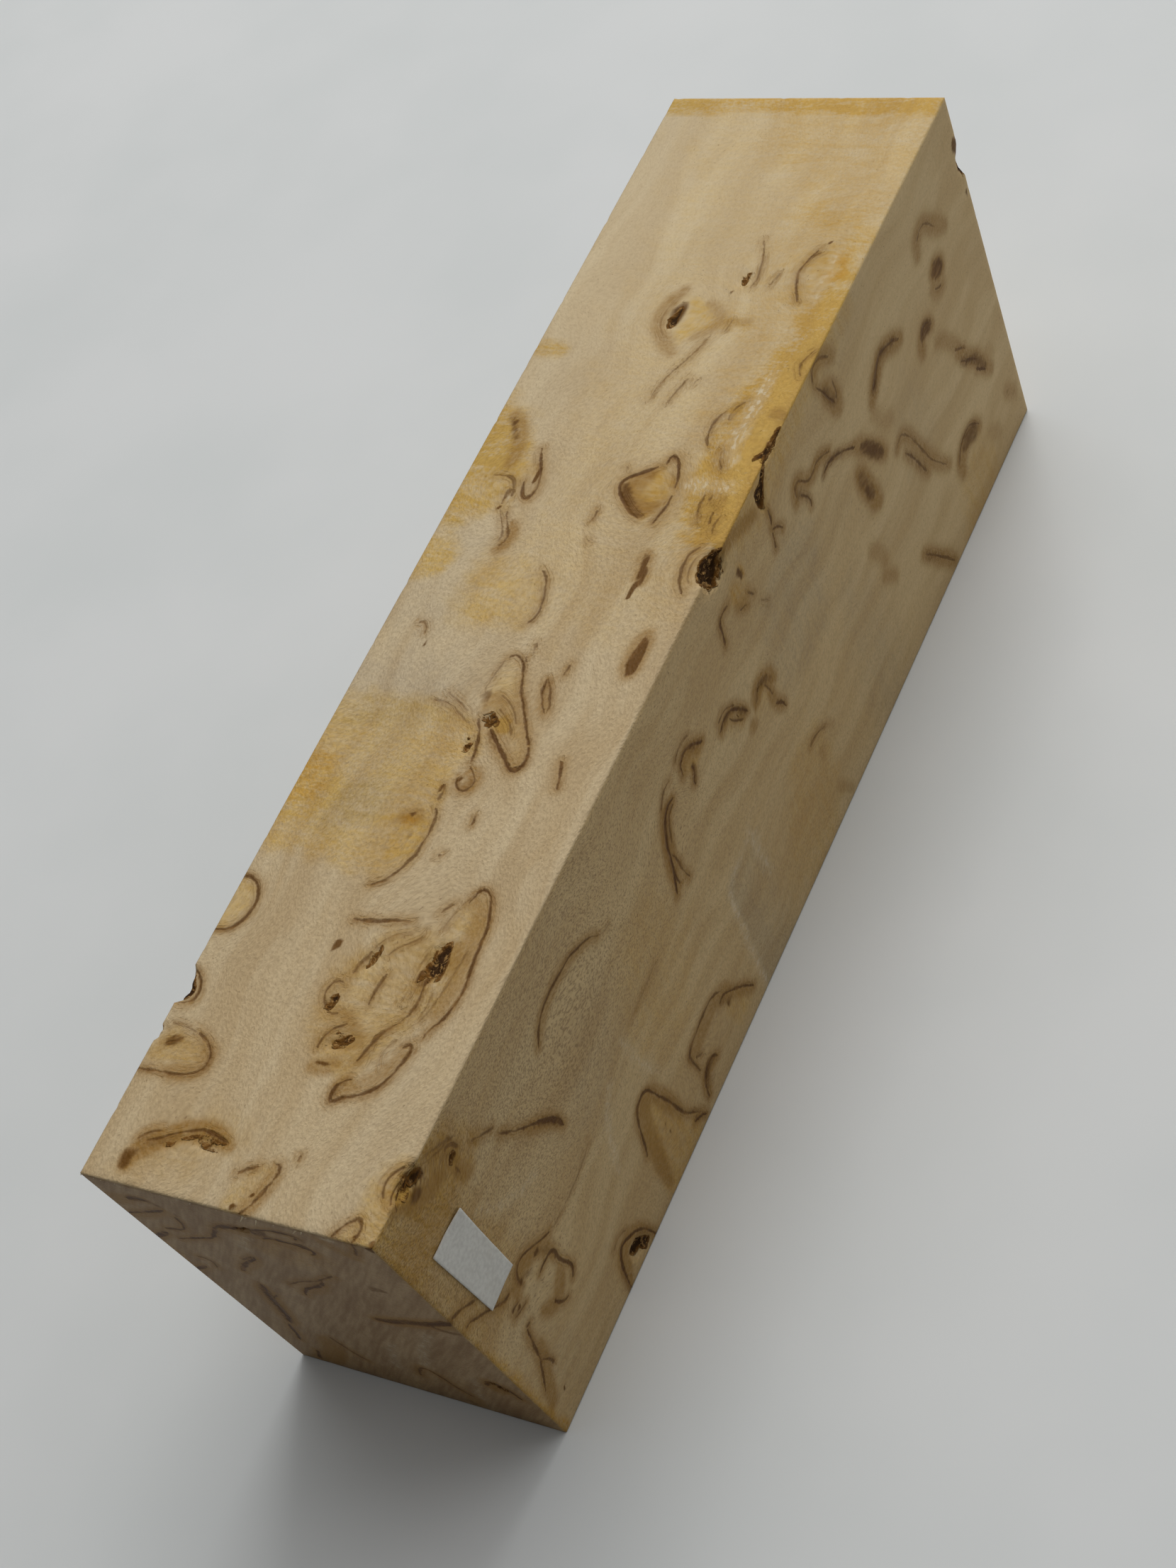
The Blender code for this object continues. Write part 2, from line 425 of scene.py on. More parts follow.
def stain(side, spots, strokes, areas, pockets, coarse_from=None, coarse_edge=STROKE_EDGE):
    """Draws the tables of one side. Its strokes are softer past coarse_from, where the mesh is coarser."""
    for kind, amount, *shape in spots:
        spot(side, kind, amount, *shape)
    for kind, amount, half, points in strokes:
        coarse = coarse_from is not None and points[0, 0] >= coarse_from
        stroke(side, kind, amount, half, points, coarse_edge if coarse else STROKE_EDGE)
    for kind, amount, edge, points in areas:
        area(side, kind, amount, edge, points)
    for (points,) in pockets:
        bark(side, points)
    print(f"{side}: {len(spots)} spots, {len(strokes)} strokes, {len(areas)} areas, {len(pockets)} pockets")


print("fields for", count, "points")

# %% [markdown]
# The figure of the top
#
# Each table below gives its places in mm along and across the side. The loops are cut bark pockets: thin
# lines that are darkest where the pocket was deepest. Strokes and areas colour the wood beside them: halo and
# brown next to the bark, amber, yellow and slate as broad stains, and pale where fibres were torn up.

# %% Lines of the top
TOP_LINES = rows("""
# half width in mm, darkness, places
# the arch at the near left corner, and its outer arc
.16 .85 3,5.2 3.6,6.5 4.2,7.6 4.9,9 5.3,10.3 5.2,11.8 4.8,13.3
.12 .7 2.9,4.3 3.9,5.3 4.3,6.5
# the U, the two loops and the chips along the left edge
.13 .8 8.9,0.4 9.1,2.5 9.3,4.5 9.6,5.8 10.2,6.8 11,7.1 12,6.8 12.9,5.8 13.4,4.6
.06 .5 13.4,4.6 13.6,3 13.6,1.5
.14 .8 11.7,1.8 12.1,2.6 12.6,3.4
.13 .85 15.6,0 15.7,1.7 16.5,2.4 17.8,2.1 18.7,1.2 19,0
.13 .85 23,0.2 23.4,1.7 24.2,2.6 25.5,3.1 27,3 28.2,2.3 28.8,1.2 28.7,0.2
# the flame at the near edge and the small loop beside it
.12 .8 -0.8,17.4 0.2,18.1 1.5,18.6 3,19.1 4.1,19.1 4.3,18.4
.11 .75 2.5,15.4 3.2,16.2 3.8,17.2
.11 .8 -0.2,26.6 0.8,27.1 1.6,27.8 2,28.3 1.6,28.8 0.6,28.9 -0.1,28.6
# rings of the knot on the right edge
.12 .8 4,29.6 4.8,29.15 5.6,29.1 6.5,29.5 7.1,30.2
.12 .8 3.6,30.5 4.5,30.2 5.5,30.3 6.5,30.6 7.3,31
# the large figure with the deep pit
.13 .9 17.8,25.9 18.8,26.3 20,27 21.5,27.4 22.7,27.5 24.5,27.3 26.5,27 28.5,26.9 30.3,26.4 31.6,25.8 \
32.2,25 31.9,24.4 30.5,24
.07 .45 27.6,22.8 29,23 30.6,23.6 31.8,24.4
.06 .45 18.4,24.2 19.6,25.1 21.6,25.6 24,25.9 26.6,26.1
.06 .4 20.4,22.3 22,22.5 23.8,22.4 25.6,22.6
.06 .45 19.2,24.6 20.6,24.9 22.2,24.8
.06 .5 24.6,17.2 25.8,17.9 26.6,19 27,20.2
.06 .4 14.4,23.4 15.4,23 16.4,23.2 17.4,23.8
.14 .85 12.9,21.5 12.6,20.8 12,20.4 11.2,20.3 10.6,20.6 11.2,21.4 11.7,22.7 12.3,23.6 13.2,24.4 14.5,25 \
15.8,25.4 16.8,25.5 17,25 16.5,24.4
.11 .75 14.3,21 15.3,21.3 16.2,21.6 17,21.8 18,22.5 18.8,23.3 19.8,23.7 21,23.9 22.5,23.7 24,23.6
.12 .8 14.7,16.8 15.8,16.8 16.8,17.4 17.6,18.6
.1 .7 18.2,17.3 18.1,16.2 18.9,15.2 20,14.8 21,15.3 21,16.4
.14 .8 26.95,13.7 27.1,15.2 27.4,16.8 27.7,18 27.9,19.2 28.1,19.5
.09 .6 21.8,16.4 22.8,16.6 23.6,16.9 24.6,17.3
.1 .65 19.4,19.5 20.8,19.4 21.9,19.6 22.8,19.7
.09 .6 24.3,18.9 25,19.3 25.8,20.2 26.5,21.1 27.1,21.3
.13 .7 29.1,21.8 29.9,22.2 30.6,22.9
# the arc and spiral at the border of the yellow wood
.13 .75 30.5,13.5 31.2,14.8 32.2,15.6 33.4,16.2 34.2,16.5 35.5,16.6 37.2,16.7 38.6,16.4 39.1,16
.11 .7 39.8,15.9 41,15.95 41.7,15.6
.13 .9 43.9,17.2 43.4,17.8 42.8,18.3 42.2,18.6 41.5,18.3 41.2,17.7 41.5,17.1 42.2,16.7 42.8,16.9
.12 .8 43.9,17.2 45,17.1 46,16.9 47.3,16.5 48.4,15.9 49,15.7
.07 .45 50.2,9.8 49.9,12 49.2,13.2 48.6,14.2 48.1,15.2
.06 .4 51.2,11 50.2,13 49.4,14.4
# the long loop
.17 .9 48,17.4 47,18.4 46,19.5 45,20.6 44.3,21.3 44.2,22 44.8,22.4 45.8,22.45 46.8,22.1
.12 .85 46.8,22.1 48.2,21.2 49.8,20.2 51.2,19.3 52.5,18.5 54,17.9 55.3,17.3 56,16.5 56.1,15.8 55.6,15.3
.06 .45 55.6,15.3 54,15 52.5,14.8 51.5,14.9
.07 .5 47.5,19.9 48.6,19.2 49.5,18.2 50.2,17.2
.07 .5 48.7,19.8 50.1,18.9 51.2,17.7 51.7,16.6
# spindles and ticks beside it
.1 .8 50.2,22.2 51.2,21.4 52.6,20.7 54.2,20.5
.08 .7 50.2,22.2 51.5,22 53,21.3 54.2,20.5
.1 .75 54.6,21.95 55.3,22 56.1,22.15
.09 .7 55.5,17.45 55.9,17.3 56.2,17.3
.08 .5 56.5,17.8 57.3,17.6 58,17.6
.1 .75 37.9,20.4 38.5,20.45 39.2,20.35
.12 .85 43,26.9 44.5,26.5 46,26
.07 .6 34.4,18.6 34.7,18.9 34.9,19.2
.08 .7 5,20.35 5.4,20.4 5.7,20.35
# the arc past the yellow wood
.11 .7 59.6,15.3 60.2,15.9 61.2,16.1 62.5,15.9 63.8,15.5 65,15 66,14.1
.08 .5 58.2,3.9 58.3,4.6 57.8,5.1 57,5.3
.09 .7 72.1,16.5 72.9,16.7 73.7,16.7
.07 .6 69.6,17.4 69.9,17.45 70.1,17.5
.07 .6 78.6,17.7 78.9,17.55 79.2,17.4
# the knotted patch on the left edge
.11 .7 67.9,7.9 68.6,8.4 69.4,8.5 70.4,8 71.5,7.3 72.5,6.9
.09 .6 68.4,7.7 69.5,7.8 70.6,7.2 71.6,6.6 72.6,5.9
.09 .6 72.9,6 74.2,5.8 75,6 74.8,6.5 73.9,6.4
.1 .55 75,6.4 76.2,5.7 76.6,4.5 76.5,3.2
.15 .85 80.5,7 79.6,7.3 78.6,7.8 77.4,8.4 76,8.8 74.9,8.8 74,8.4 74.3,7.8 75.2,7.3 76.2,7
# the three-sided loop
.17 .9 73,21.4 73.8,20.1 74.8,19 75.8,18.1 76.8,17.7 77.7,18.1 78.4,19.2 79,20.2 79.4,20.8
.15 .9 79.6,21.5 80.3,21.4 80.9,21.7 80.6,22.3 79.7,22.8 78.3,23.3 77,23.6
.12 .8 76.3,23.7 74.8,23.6 73.5,23.3 72.5,23.1
# the knot, and the cracks that lead to it
.05 .35 95.5,14 97.2,12.9 98.9,12.6 100.6,13 102,13.6
.07 .55 87.4,16 88.9,16.1 90.2,16.5 91.6,17.1 93,17.8 94.4,18.4 95.8,18.8
.07 .5 87.2,18.1 88.6,18.4 89.9,18.8 90.8,19.1
.06 .5 89.6,19.8 90.1,20 90.6,20.2
.06 .5 96.8,20.3 97.7,20.5 98.6,20.6
.08 .6 102.6,20.6 103.9,20.9 105.5,20.7 107.5,20.2 109.6,19.4
.06 .4 103,22.6 104,22.9 105,23.1
# arcs along the right edge
.1 .65 82.2,24.8 83.2,24.3 84.5,24.1 85.8,24.3 86.9,24.9
.1 .65 85.5,25.5 86.6,25.5 87.5,25.9 88.2,26.5
.09 .6 79.6,27.4 80.6,26.8 82,26.4
.09 .6 73.2,27.6 74.4,27.1 75.6,26.95 76.6,27
.11 .7 65,29.6 66.2,28.8 67.6,28.4 69,28.3 70,28.6 70.7,29.3
.09 .6 91.6,30.8 92.5,30.3 93.5,30.2 94.5,30.6 95.3,31
.06 .6 73.1,27.75 74.1,27.7
.06 .6 75.6,27.65 76.6,27.75
.07 .65 73.1,28.9 74,28.7 74.9,28.75
.06 .6 75.5,28.75 76.4,28.8
.06 .6 72,29.7 73,29.4 74.2,29.6
.06 .5 66.2,29.9 67,29.3 68.4,29.1 69.6,29.3
.12 .8 101,26.6 102.3,26 103.8,25.4 105,25.1 106.4,25.3 107.8,25.9 108.6,26.3
.08 .6 106.5,25.5 107.6,26.1 108,26.6
""")
for half, tone, points in TOP_LINES:
    line("top", half, tone, points)
print("lines on the top:", len(TOP_LINES))

# %% Stains and bark of the top
TOP_SPOTS = rows("""
# kind, amount, middle along and across, length and width in mm, turn in degrees, softness
brown .7 1 4.3 2 1.1 20
brown .6 12.2 2.6 1.8 1.4 60
brown .9 -.1 16.7 .9 .8 0
brown .9 1.15 17.7 .8 .5 30
brown .8 .6 28.7 .6 .5 0
brown .7 .2 30.5 1.4 1.2 0
brown .9 23.1 23 1.7 .5 0
brown .75 13.6 18.1 .7 1.8 0
brown .75 24.3 13.5 1.7 .8 10
pale .9 27.6 19.4 .8 .6 0
brown .9 41.3 15.6 .9 .45 -10
brown .35 36 14.8 1.6 1.2 20
brown .95 42.3 17.1 .7 .6 0
brown .9 38 14.2 .8 1.1 0
amber .9 37.6 14.2 1.6 2.2 0
amber 1.2 48.6 18.4 2.6 2 -40
brown .7 51.3 15.4 .9 .6 0
brown 1.1 57.8 28.2 5.8 1.3 0
brown 1 64.7 24.3 2.2 .6 0
brown .9 67.4 24.5 4.4 1 -12
brown .6 56 5.9 .9 .5 0
brown .9 72.6 5.8 .8 .6 0
brown .9 76.9 8.15 2.3 .5 0
pale .8 82.3 3.2 1.1 .8 0
pale .8 81 3.9 .9 .8 0
pale .7 78.8 4.4 1.4 .9 0
pale .6 74 6.1 1.9 .6 0
brown .8 83.3 2.4 .9 .6 0
brown .7 102 18.9 .8 .3 0
brown .85 109.2 27 .7 .6 0
brown .6 98.8 14.2 4.4 2.2 0
""")
TOP_STROKES = rows("""
# kind, amount, half width in mm, places
brown .6 .4 0.2,4.3 1,4.1 1.9,4.5
brown .35 .3 1.8,4.6 2.8,5.8 3.5,7.2
halo 1 .7 0.3,4.6 1.8,4.8 3,6 4,7.4 4.9,9 5.2,10.6 5,12.4 4.5,13.6
halo .8 .4 2.9,4.4 3.9,5.4 4.3,6.6
halo .8 .5 9.2,3 9.5,5.4 10.2,6.6 11.2,6.9 12.2,6.6 13,5.6
brown .45 .22 10.2,6.7 11,7.05 12,6.75
brown .6 .15 11.8,1.9 12.2,2.7 12.5,3.2
halo .8 .5 -0.6,17.8 1.4,18.6 3,19 4.2,18.8
halo .8 .5 13,17 13.4,18.4 14,19.4
halo .9 .5 11,20.6 12,20.6 12.7,21.4
brown .4 .2 11,20.5 12,20.6 12.6,21.2
halo .8 .5 15.6,18 16,19.6 16.8,20.4
halo .9 .6 21.8,23.4 23.6,23.6 24.6,24.8 26.6,25
brown .5 .2 22.4,23.2 23.4,23.9 24.2,24.6
halo .9 .5 41.2,17.6 42,18.4 43,18.2 43.8,17.4
brown .5 .2 50.8,15.4 51.4,15.1 51.9,15.5
brown .45 .2 46,18.9 47,18 47.8,17.5
halo .8 .4 44.4,21.6 46,19.4 47.8,17.6
halo .8 .4 50.4,22 52,21.2 54.2,20.6
brown .35 .15 38.9,0.5 39.6,1 40.2,1.6
halo .8 .8 55.4,28.2 57.6,28.1 60.6,28.2
halo .8 .6 65.6,24.9 67.4,24.5 69.4,24.1
halo .7 .5 93.5,15.8 95,14.4 96.6,13 98.6,12.3 100.6,12.7 102.4,13.6
halo .6 .3 95.8,17.2 97,18.6 98.3,19.2 99.6,18.4 100.6,17
halo .55 .2 98.3,19.2 98.2,21 98.3,22.6
halo .9 .4 71,8.2 69.4,8.8 68,8.4 67.6,7.8
brown .5 .2 81.2,3.6 82.4,2.9 83.4,2.3 84,1.6
halo .8 .5 77.6,4.4 79.6,4.4 81.6,3.8 83.2,3 84.6,1.8
brown .6 .3 76.9,18.3 75.6,18.9 74.4,20.1 73.4,21.5
halo 1 .5 78.6,20.6 76.9,18.9 75.2,19.6 74,21.4 75,22.8
halo .8 .35 86.4,31 87,30.3 86.6,29.8
halo .6 .3 80,27.2 81,26.6 82.4,26.2
halo .8 .3 74.4,22.6 75,20.4 76.6,19.8 78.2,20.4
halo .7 .4 11.6,21.6 13,23 15,24.6 17.4,25.2
halo .7 .5 20,26 23,26.4 26,26 29.6,25.6 31,24.8
halo .8 .4 18.4,17.6 17.4,19 16,20.4
halo .7 .4 37.4,13 38.2,14.2 37.6,15.4
halo .7 .4 50,15.6 51.4,16.4 50.6,17.6
""")
TOP_AREAS = rows("""
# kind, amount, width of the soft border in mm, outline
yellow .64 1.4 33.2,-1 32.2,5 31.6,9 31.5,13.5 33.5,16.2 38,16.7 42,16 46,17 49,14 50,8 48,-1
yellow 1 1.6 35,-1 35,4 38,6 41,4.5 41,-1
amber .5 1 37.4,-1 37.6,2.4 39,3.2 40.6,2.2 41.4,3.4 43,2.6 43.6,-1
slate .7 1.4 35,4.6 36,9 38.4,11 41,9.4 40.4,6.4 37.6,5
slate .6 1.2 46.4,2 46.8,9 48.6,11 50.4,8 50,2
amber .2 1 45.4,9.6 47.4,12.6 48.4,15 46.8,16.4 44.6,15.4 44.4,12
yellow 1 1.2 33,13.5 34,16 38,16.4 39,14.5 36,12.8
yellow .6 2.5 59,8 60,15.5 64,15 67,12 66,7
yellow .55 .8 23.4,0 23.8,1.7 25.5,2.7 27.8,2.2 28.4,0
yellow .9 1.2 63.5,-1 64,3 66,4.2 68,3 68.5,-1
amber .8 2 71,-1 72,5 76,7 80,6 85,3 85.5,-1
amber 1 1.2 76.5,-1 76.5,4.4 81,4 84,2 84.5,-1
amber .7 1.2 92.5,-1 92.5,3.5 94,3.5 94.2,-1
amber .9 1 73.4,21.6 75,19.4 76.8,18.3 78,19.6 79.3,21.6 77.5,23.2 74.5,23.2
yellow .9 1.2 95,15.5 98,15.2 101,15.3 100,17.5 98.2,19.4 96.4,17.8
amber .6 2 98,18.5 99,21 98.6,24.5 97.4,24.5 97,21
amber .9 .8 4.4,31.4 4.6,29.8 5.6,29.5 6.8,30.2 7.1,31.4
amber .6 1.6 -1,28.7 3,28.2 7,28.8 7,32 -1,32
amber 1 2 70.4,29 72,26.6 76,24.8 80,24.6 88,25 93,26.4 98,27.6 104,28.4 104,32.5 70.4,32.5
amber 2.2 1.6 71.4,29.6 73,27.8 77,27 80.6,27.4 86,27.4 92,28 96,29.4 96,32.5 71.4,32.5
amber .3 4 72,25 80,23.4 92,23 104,21.6 118,20 131,18 131,33 72,33
yellow .25 6 62,9 75,11 90,9 110,8 131,6 131,33 66,33
amber .6 2.5 100,25.5 105,25 110,27 110,32 100,32
yellow .8 1.6 104,28.2 108,28.2 108,30 104,30
amber .55 2.5 111,22 115,22.5 115,30 111,29
amber 1 .7 127.8,-1 128.2,10 127.6,20 128,33 131.5,33 131.5,-1
amber .35 3 120,16 130,16 131,33 120,32
amber .5 .8 10,1 10.3,5.6 11.3,6.4 12.5,5.6 13,1.4
amber .4 .7 -1,17 1.5,18.2 3.9,18.7 3.6,17.4 2.4,15.9 -1,15.6
amber .5 .6 -0.8,27 1.2,27.9 1.4,28.5 -0.6,28.6
amber .5 1.2 18,24 20,26 24,26.6 29,26.3 31.5,25.2 29,23.4 24,22 19,20 15,17 13,20 15,22.5
amber .42 1.6 12.5,21 14,16.5 18,14.5 22,14.8 25.5,16.5 27.5,20 28,23 24,24 20,23.5 16,21.8
amber .35 .8 45,21.6 48.5,18.5 50.5,15.5 55,15.6 55,17.2 51,19 47.5,21.6 45.2,22.2
amber .3 2.5 3,6 6,9 7,13 4,14 1,9 0,4
slate .5 5 47,-1 47,10 51,14 54,10 54,-1
slate .35 4 58,-1 58,7 63,8 64.5,-1
slate .35 3 66,1 66,6.5 70,7 70,1.5
pale .8 1.2 80.6,26.9 84,26.8 88,27 91.6,27.4 91.2,28.3 86,28.1 80.8,28.2
pale .6 1 76.8,24.6 78.2,24.8 78.4,29 77,29.4
pale .45 .8 101.5,28 105,27.9 108,28 108,28.7 101.5,28.7
""")
TOP_BARK = rows("""
# outline
23.1,24.9 24.2,24.95 25.6,24.8 26.7,24.5 27.1,24.1 26.2,23.6 25,23.3 24.2,23.2 23.9,23.8 23.3,24.2
22.3,22.9 23.1,22.8 23.9,23.1 23.2,23.2
16,19.8 16.5,19.9 16.8,19.2 16.5,18.6 16.8,17.9 16.4,17.7 16.1,18.3 15.9,19.1
18.8,16.3 19.5,16.5 20.1,16.1 19.9,15.6 19.2,15.6
23.5,18 24.2,18.3 25.1,18.1 25.2,17.8 24.4,17.6 23.7,17.7
3.7,7.5 4.3,8.6 4.9,9.8 5.1,11.2 4.9,12.9 4.5,12.9 4.6,11.2 4.4,10 3.8,8.5
45.6,16.3 46.5,16.5 47.8,16.2 47.7,15.95 46.5,16.1 45.7,16
48.3,18.2 49,18 49.8,17.2 50.1,16.6 49.6,16.4 49,16.9 48.5,17.5
97.3,14.7 97.9,14.1 98.9,13.8 100,13.9 100.2,14.4 99.2,14.6 98.2,14.6
103.4,20.1 104.6,20.35 105.8,20 104.8,19.7 103.8,19.8
65.9,31.6 66.5,30.7 67.4,29.9 69.4,29.7 70.2,30.4 70.9,31.6
80.8,30.1 81.8,29.9 82.4,30.5 83.5,30.8 85.2,30.7 85.4,31.4 82.3,31.4 81.2,30.6
15.8,-1 15.9,1.3 16.6,2 17.7,1.7 18.5,0.9 18.8,-1
12,-1 12.1,0.5 12.7,0.7 13.2,0.4 13.3,-1
4,31.6 4.3,30.7 5.4,30.6 6.6,30.9 7.2,31.6
""")
stain("top", TOP_SPOTS, TOP_STROKES, TOP_AREAS, TOP_BARK)

# %% [markdown]
# The figure of the shaded right side
#
# The same kinds of mark, placed by their height above the floor. This side was cut nearly through the middle
# of the pockets, so its loops are longer and softer.

# %% Lines of the right side
RIGHT_LINES = rows("""
# half width in mm, darkness, places
# round the knot at the near top corner
.1 .7 3.6,41.6 3.9,42.3 4.2,42.9
.07 .4 8.5,41.8 10.2,40.6 11.8,39.2
.06 .35 8,41.5 10,40.2 11.5,39.9
.09 .65 10.1,39.4 10.7,39.6 11.2,38.9 11.4,38
# the long line that ends in a brown wedge
.09 .65 12.6,36.8 13.3,36.1 14.2,35.3 15.1,34.5
.1 .75 15.1,33.5 15.7,32.6 16.5,31.3 17.4,30.2 18.4,29 19.3,27.9
.2 .8 18.6,28.8 19.3,27.9 20.1,26.8 20.6,25.5 20.8,24.4
# lines and loops of the near end
.1 .65 0.7,27.2 1.6,26.7 2.6,25.9 3.6,25
.1 .7 1,24.4 1.8,24.2 2.6,23.5 3.4,22.7 4.4,21.6 5.4,20.6 6.4,20.3
.12 .75 7.7,19 7.8,20.2 8.3,21 9.2,21.2 10.2,20.8 11.2,20 12.2,19.2 13.1,18.7
.1 .7 5.1,18.4 5.9,18.5 6.6,18.2
.1 .7 5,17.7 6,17.3 7,17.1
.12 .75 9.6,17.1 10.6,17.2 11.8,17.1 12.3,16.5 12.1,15.2 12.4,14 12.7,12.9 12.5,12 11.9,11.3
.11 .7 9.1,12.6 9.4,11.7 10,10.9 10.6,10.6
.12 .75 5.3,15 5.1,14.3 4.8,12.8 4.5,11.4 4.2,10.4 3.6,9 2.9,7.6 2.6,7
.1 .65 5.3,15.1 5.7,15.1 6,15
.1 .65 4.4,10.2 5,9 5.1,7.8
# the arch on the floor, the tall arch, and the long arc over them
.14 .8 16.1,0 16.5,2.4 17.1,4.4 17.9,5.3 18.8,5.1 20,4.3 20.9,3.2 21.5,1.6 21.9,0
.07 .4 16.9,6.3 18.2,6.7 19.5,6
.12 .75 26.1,8 26.6,9.4 27.1,11.3 27.6,12.8 28.3,13.8 29.3,14.1 30.1,13.8 30.6,12.8 31,11.3 31.5,9.6 31.9,8 \
32.3,6 32.9,4.4 33.8,2.9 34.5,1.6
.15 .8 33,2.4 34.2,1.6 34.8,0.8
.12 .75 23.3,33.6 24,34.6 24.9,35.4 26.2,35.9 27.8,36.1 29.5,36 31.2,35.8 32.5,35.2 33.8,34.6 34.6,33.8 \
35.1,33.1
.05 .35 35.1,33.1 36,32.6 37,32.3
.06 .3 22,19.5 20.5,18.8 18,18.4 15,18.3 13.3,18.6
.06 .25 33,21.9 36,22 39,22.3
# the curl and its tails
.13 .95 45.4,23.8 46,25.2 46.6,26.6 47,28 47.4,29.4 48.1,30.8 48.9,31.9 49.8,32.3 50.8,32.1
.08 .75 46.7,26.8 46.4,25.4 46.5,24.2
.08 .75 47.3,28.2 47.6,26.4 47.6,25 48,23.2
.07 .6 47.9,28.6 48.6,30.2 49.4,31.4 50.6,31.7
.08 .6 48.6,32.7 49.6,33.7 50.6,34.1 51.5,34
.07 .5 52.8,34.2 53.6,34.8 55,35 56.2,34.6
.14 .85 53.2,32 53.4,33.2 54.2,33.8 55.2,33.7 56.1,33.1 56.8,32.4 57.5,31.9
.11 .8 54.7,31.8 54.8,30.9 54.2,30.2 54.1,29.6
# the eye with the pale streak
.13 .8 60,29.6 60.8,30.1 61.8,30.1 62.6,29.8 63.5,28.9 64.2,27.8 64.7,26.8
.1 .65 60.2,30.7 61.5,30.9 62.5,30.4 63.4,29.6
.08 .75 61.9,29.5 62.3,28.6 63,27.7 63.8,27
.1 .6 68.4,26.4 68.8,25 68.9,24
.12 .7 68.8,22.9 69.3,22.4 69.8,21.6 70,20.8
.12 .75 65.7,35.4 66,36.6 66.2,37.8 66.6,38.4 67.6,38.5 68.4,38.3
.09 .6 69.5,36.1 70.2,35.8 70.8,35.5
.08 .6 71.5,36.4 72,35.6 72.3,35.1
.06 .4 72.8,33.7 73.4,33 74,32.4
# cracks under the bark at the top edge
.13 .8 78.9,39.6 78.8,38.4 78.5,37.6
.12 .8 78.3,37.4 79,37 79.7,36.3 80,35.7
.1 .7 78.3,37.2 78,36 77.8,35.2
# the row of soft arcs that runs down to the far end
.11 .6 83.6,36 83.8,37 84.6,37.2 85.2,36.6 86,35.7 87,35.4 88.5,35.7 90,35.1 91,34.5
.1 .7 84.3,35.6 84.9,34.8 85.4,33.7 85.2,32.8
.13 .75 88.9,33.6 90.1,33.7 91.4,33.3 92.8,32.5 94.2,31.4 95.2,30.6
.11 .6 92.3,42 92.6,43.2 93.5,43.8 94.9,43.3 96.2,42.2
.14 .7 92.4,41.9 93.2,40.5 93.9,38.9 94.6,37.5
.09 .5 95.4,39.8 95.4,38.3 94.9,37.4
.15 .7 101.2,32 102.6,33 104.3,34.1 105.8,33.8 107.4,33.1 108.6,32.2
.09 .5 101.7,22.8 102.6,23.4 103.6,23.4 104.6,22.2 105.5,20.4 106.5,17.8 107.4,15.6 108.8,13.6 110,11.9
.12 .6 103.1,21.1 104,19.8 105,17.6 105.9,15.4
.12 .5 117,37.2 118,37.8 119.3,37.7 120.3,36.8 121.2,35.6
.12 .6 117.8,30.2 118.5,29.7 119.3,29.4
.1 .5 112.2,27 112.8,28.4 113.8,28.9 115,28.3
.12 .6 118.1,21.1 119.2,20.2 120.3,19.2
.14 .7 118.6,18.9 119.8,17.8 121,16.9 122,15.8
.14 .75 121.2,15.2 122.2,14.1 123.1,13.2
.12 .55 112.2,9.2 113.4,10.7 114.8,11.3 116.4,11.2 117.6,10.3 118.6,9.2
.12 .6 100.6,8 101.6,6.7 103,4.9 104.5,2.8 105.6,1
.08 .5 70.6,12.9 71.5,13.1 72.8,12.8 74.2,11.9
# the hooked frame low in the middle
.11 .65 36.9,5.5 36.8,7 36.6,8.2 36.8,9 37.8,9.5 39.3,9.7 41,9.9 42.5,9.9 43.4,9.4 44.2,8.6
.08 .5 37.2,7.6 37.7,7.2 38.2,6.8
.12 .7 36.2,1.6 36.4,3 37.2,4.3 38.2,4.9 39.2,4.6 39.8,3.6
.13 .75 43.2,7.8 44.2,7.9 45.3,6.9 46.6,5.5 47.8,3.9 48.4,2.8
""")
RIGHT_WIDER = 1.2
RIGHT_DARKER = 1.15
RIGHT_GLOW = 0.95
for half, tone, points in RIGHT_LINES:
    line("right", RIGHT_WIDER * half, min(1, RIGHT_DARKER * tone), points, halo=RIGHT_GLOW)
print("lines on the right side:", len(RIGHT_LINES))

# %% Stains and bark of the right side
RIGHT_SPOTS = rows("""
# kind, amount, middle along and across, length and width in mm, turn in degrees, softness
brown .7 5.9 40.2 2.8 2.2 -20 .8
amber 1.3 5.7 40.4 3.4 2.8 -20 1
brown .7 10.1 36.5 .9 1.4 0
brown .7 17.4 30.3 .6 .6 0
brown .7 18.4 28.9 .7 .6 0
brown .85 7.8 19.2 .6 .8 0
brown .8 10.8 19.2 .9 .7 0
brown .8 6.1 17.9 .9 .5 0
brown .8 9.2 12.4 .6 .9 0
brown .7 11.9 16 .7 .9 0
pale .7 4.8 7.5 .3 2.1 0
brown .8 4.2 4.2 .4 .7 0
pale .8 19 2.1 .5 1.1 0
pale 1.2 62.9 28.5 1.7 .36 -50
brown .7 30 7.6 .6 .9 0
brown .65 30 6 .5 .8 0
brown .8 64.6 24.9 .5 .7 0
amber .7 71.8 39 1.7 2.4 0
brown .75 71.6 39 1.3 2.2 20
amber .6 70.4 37.4 3 5 20
brown .8 94.7 24.9 .7 2.4 12
brown .7 105.6 33.6 1.5 .6 -8
brown .6 102.4 32.6 .9 .7 30
brown .7 44.4 6.2 .8 1.2 0
brown .35 37.8 2.8 2.6 2.4 0
brown .8 129.4 39 1.6 2.6 0
brown .7 129.4 33 .8 1.2 0
""")
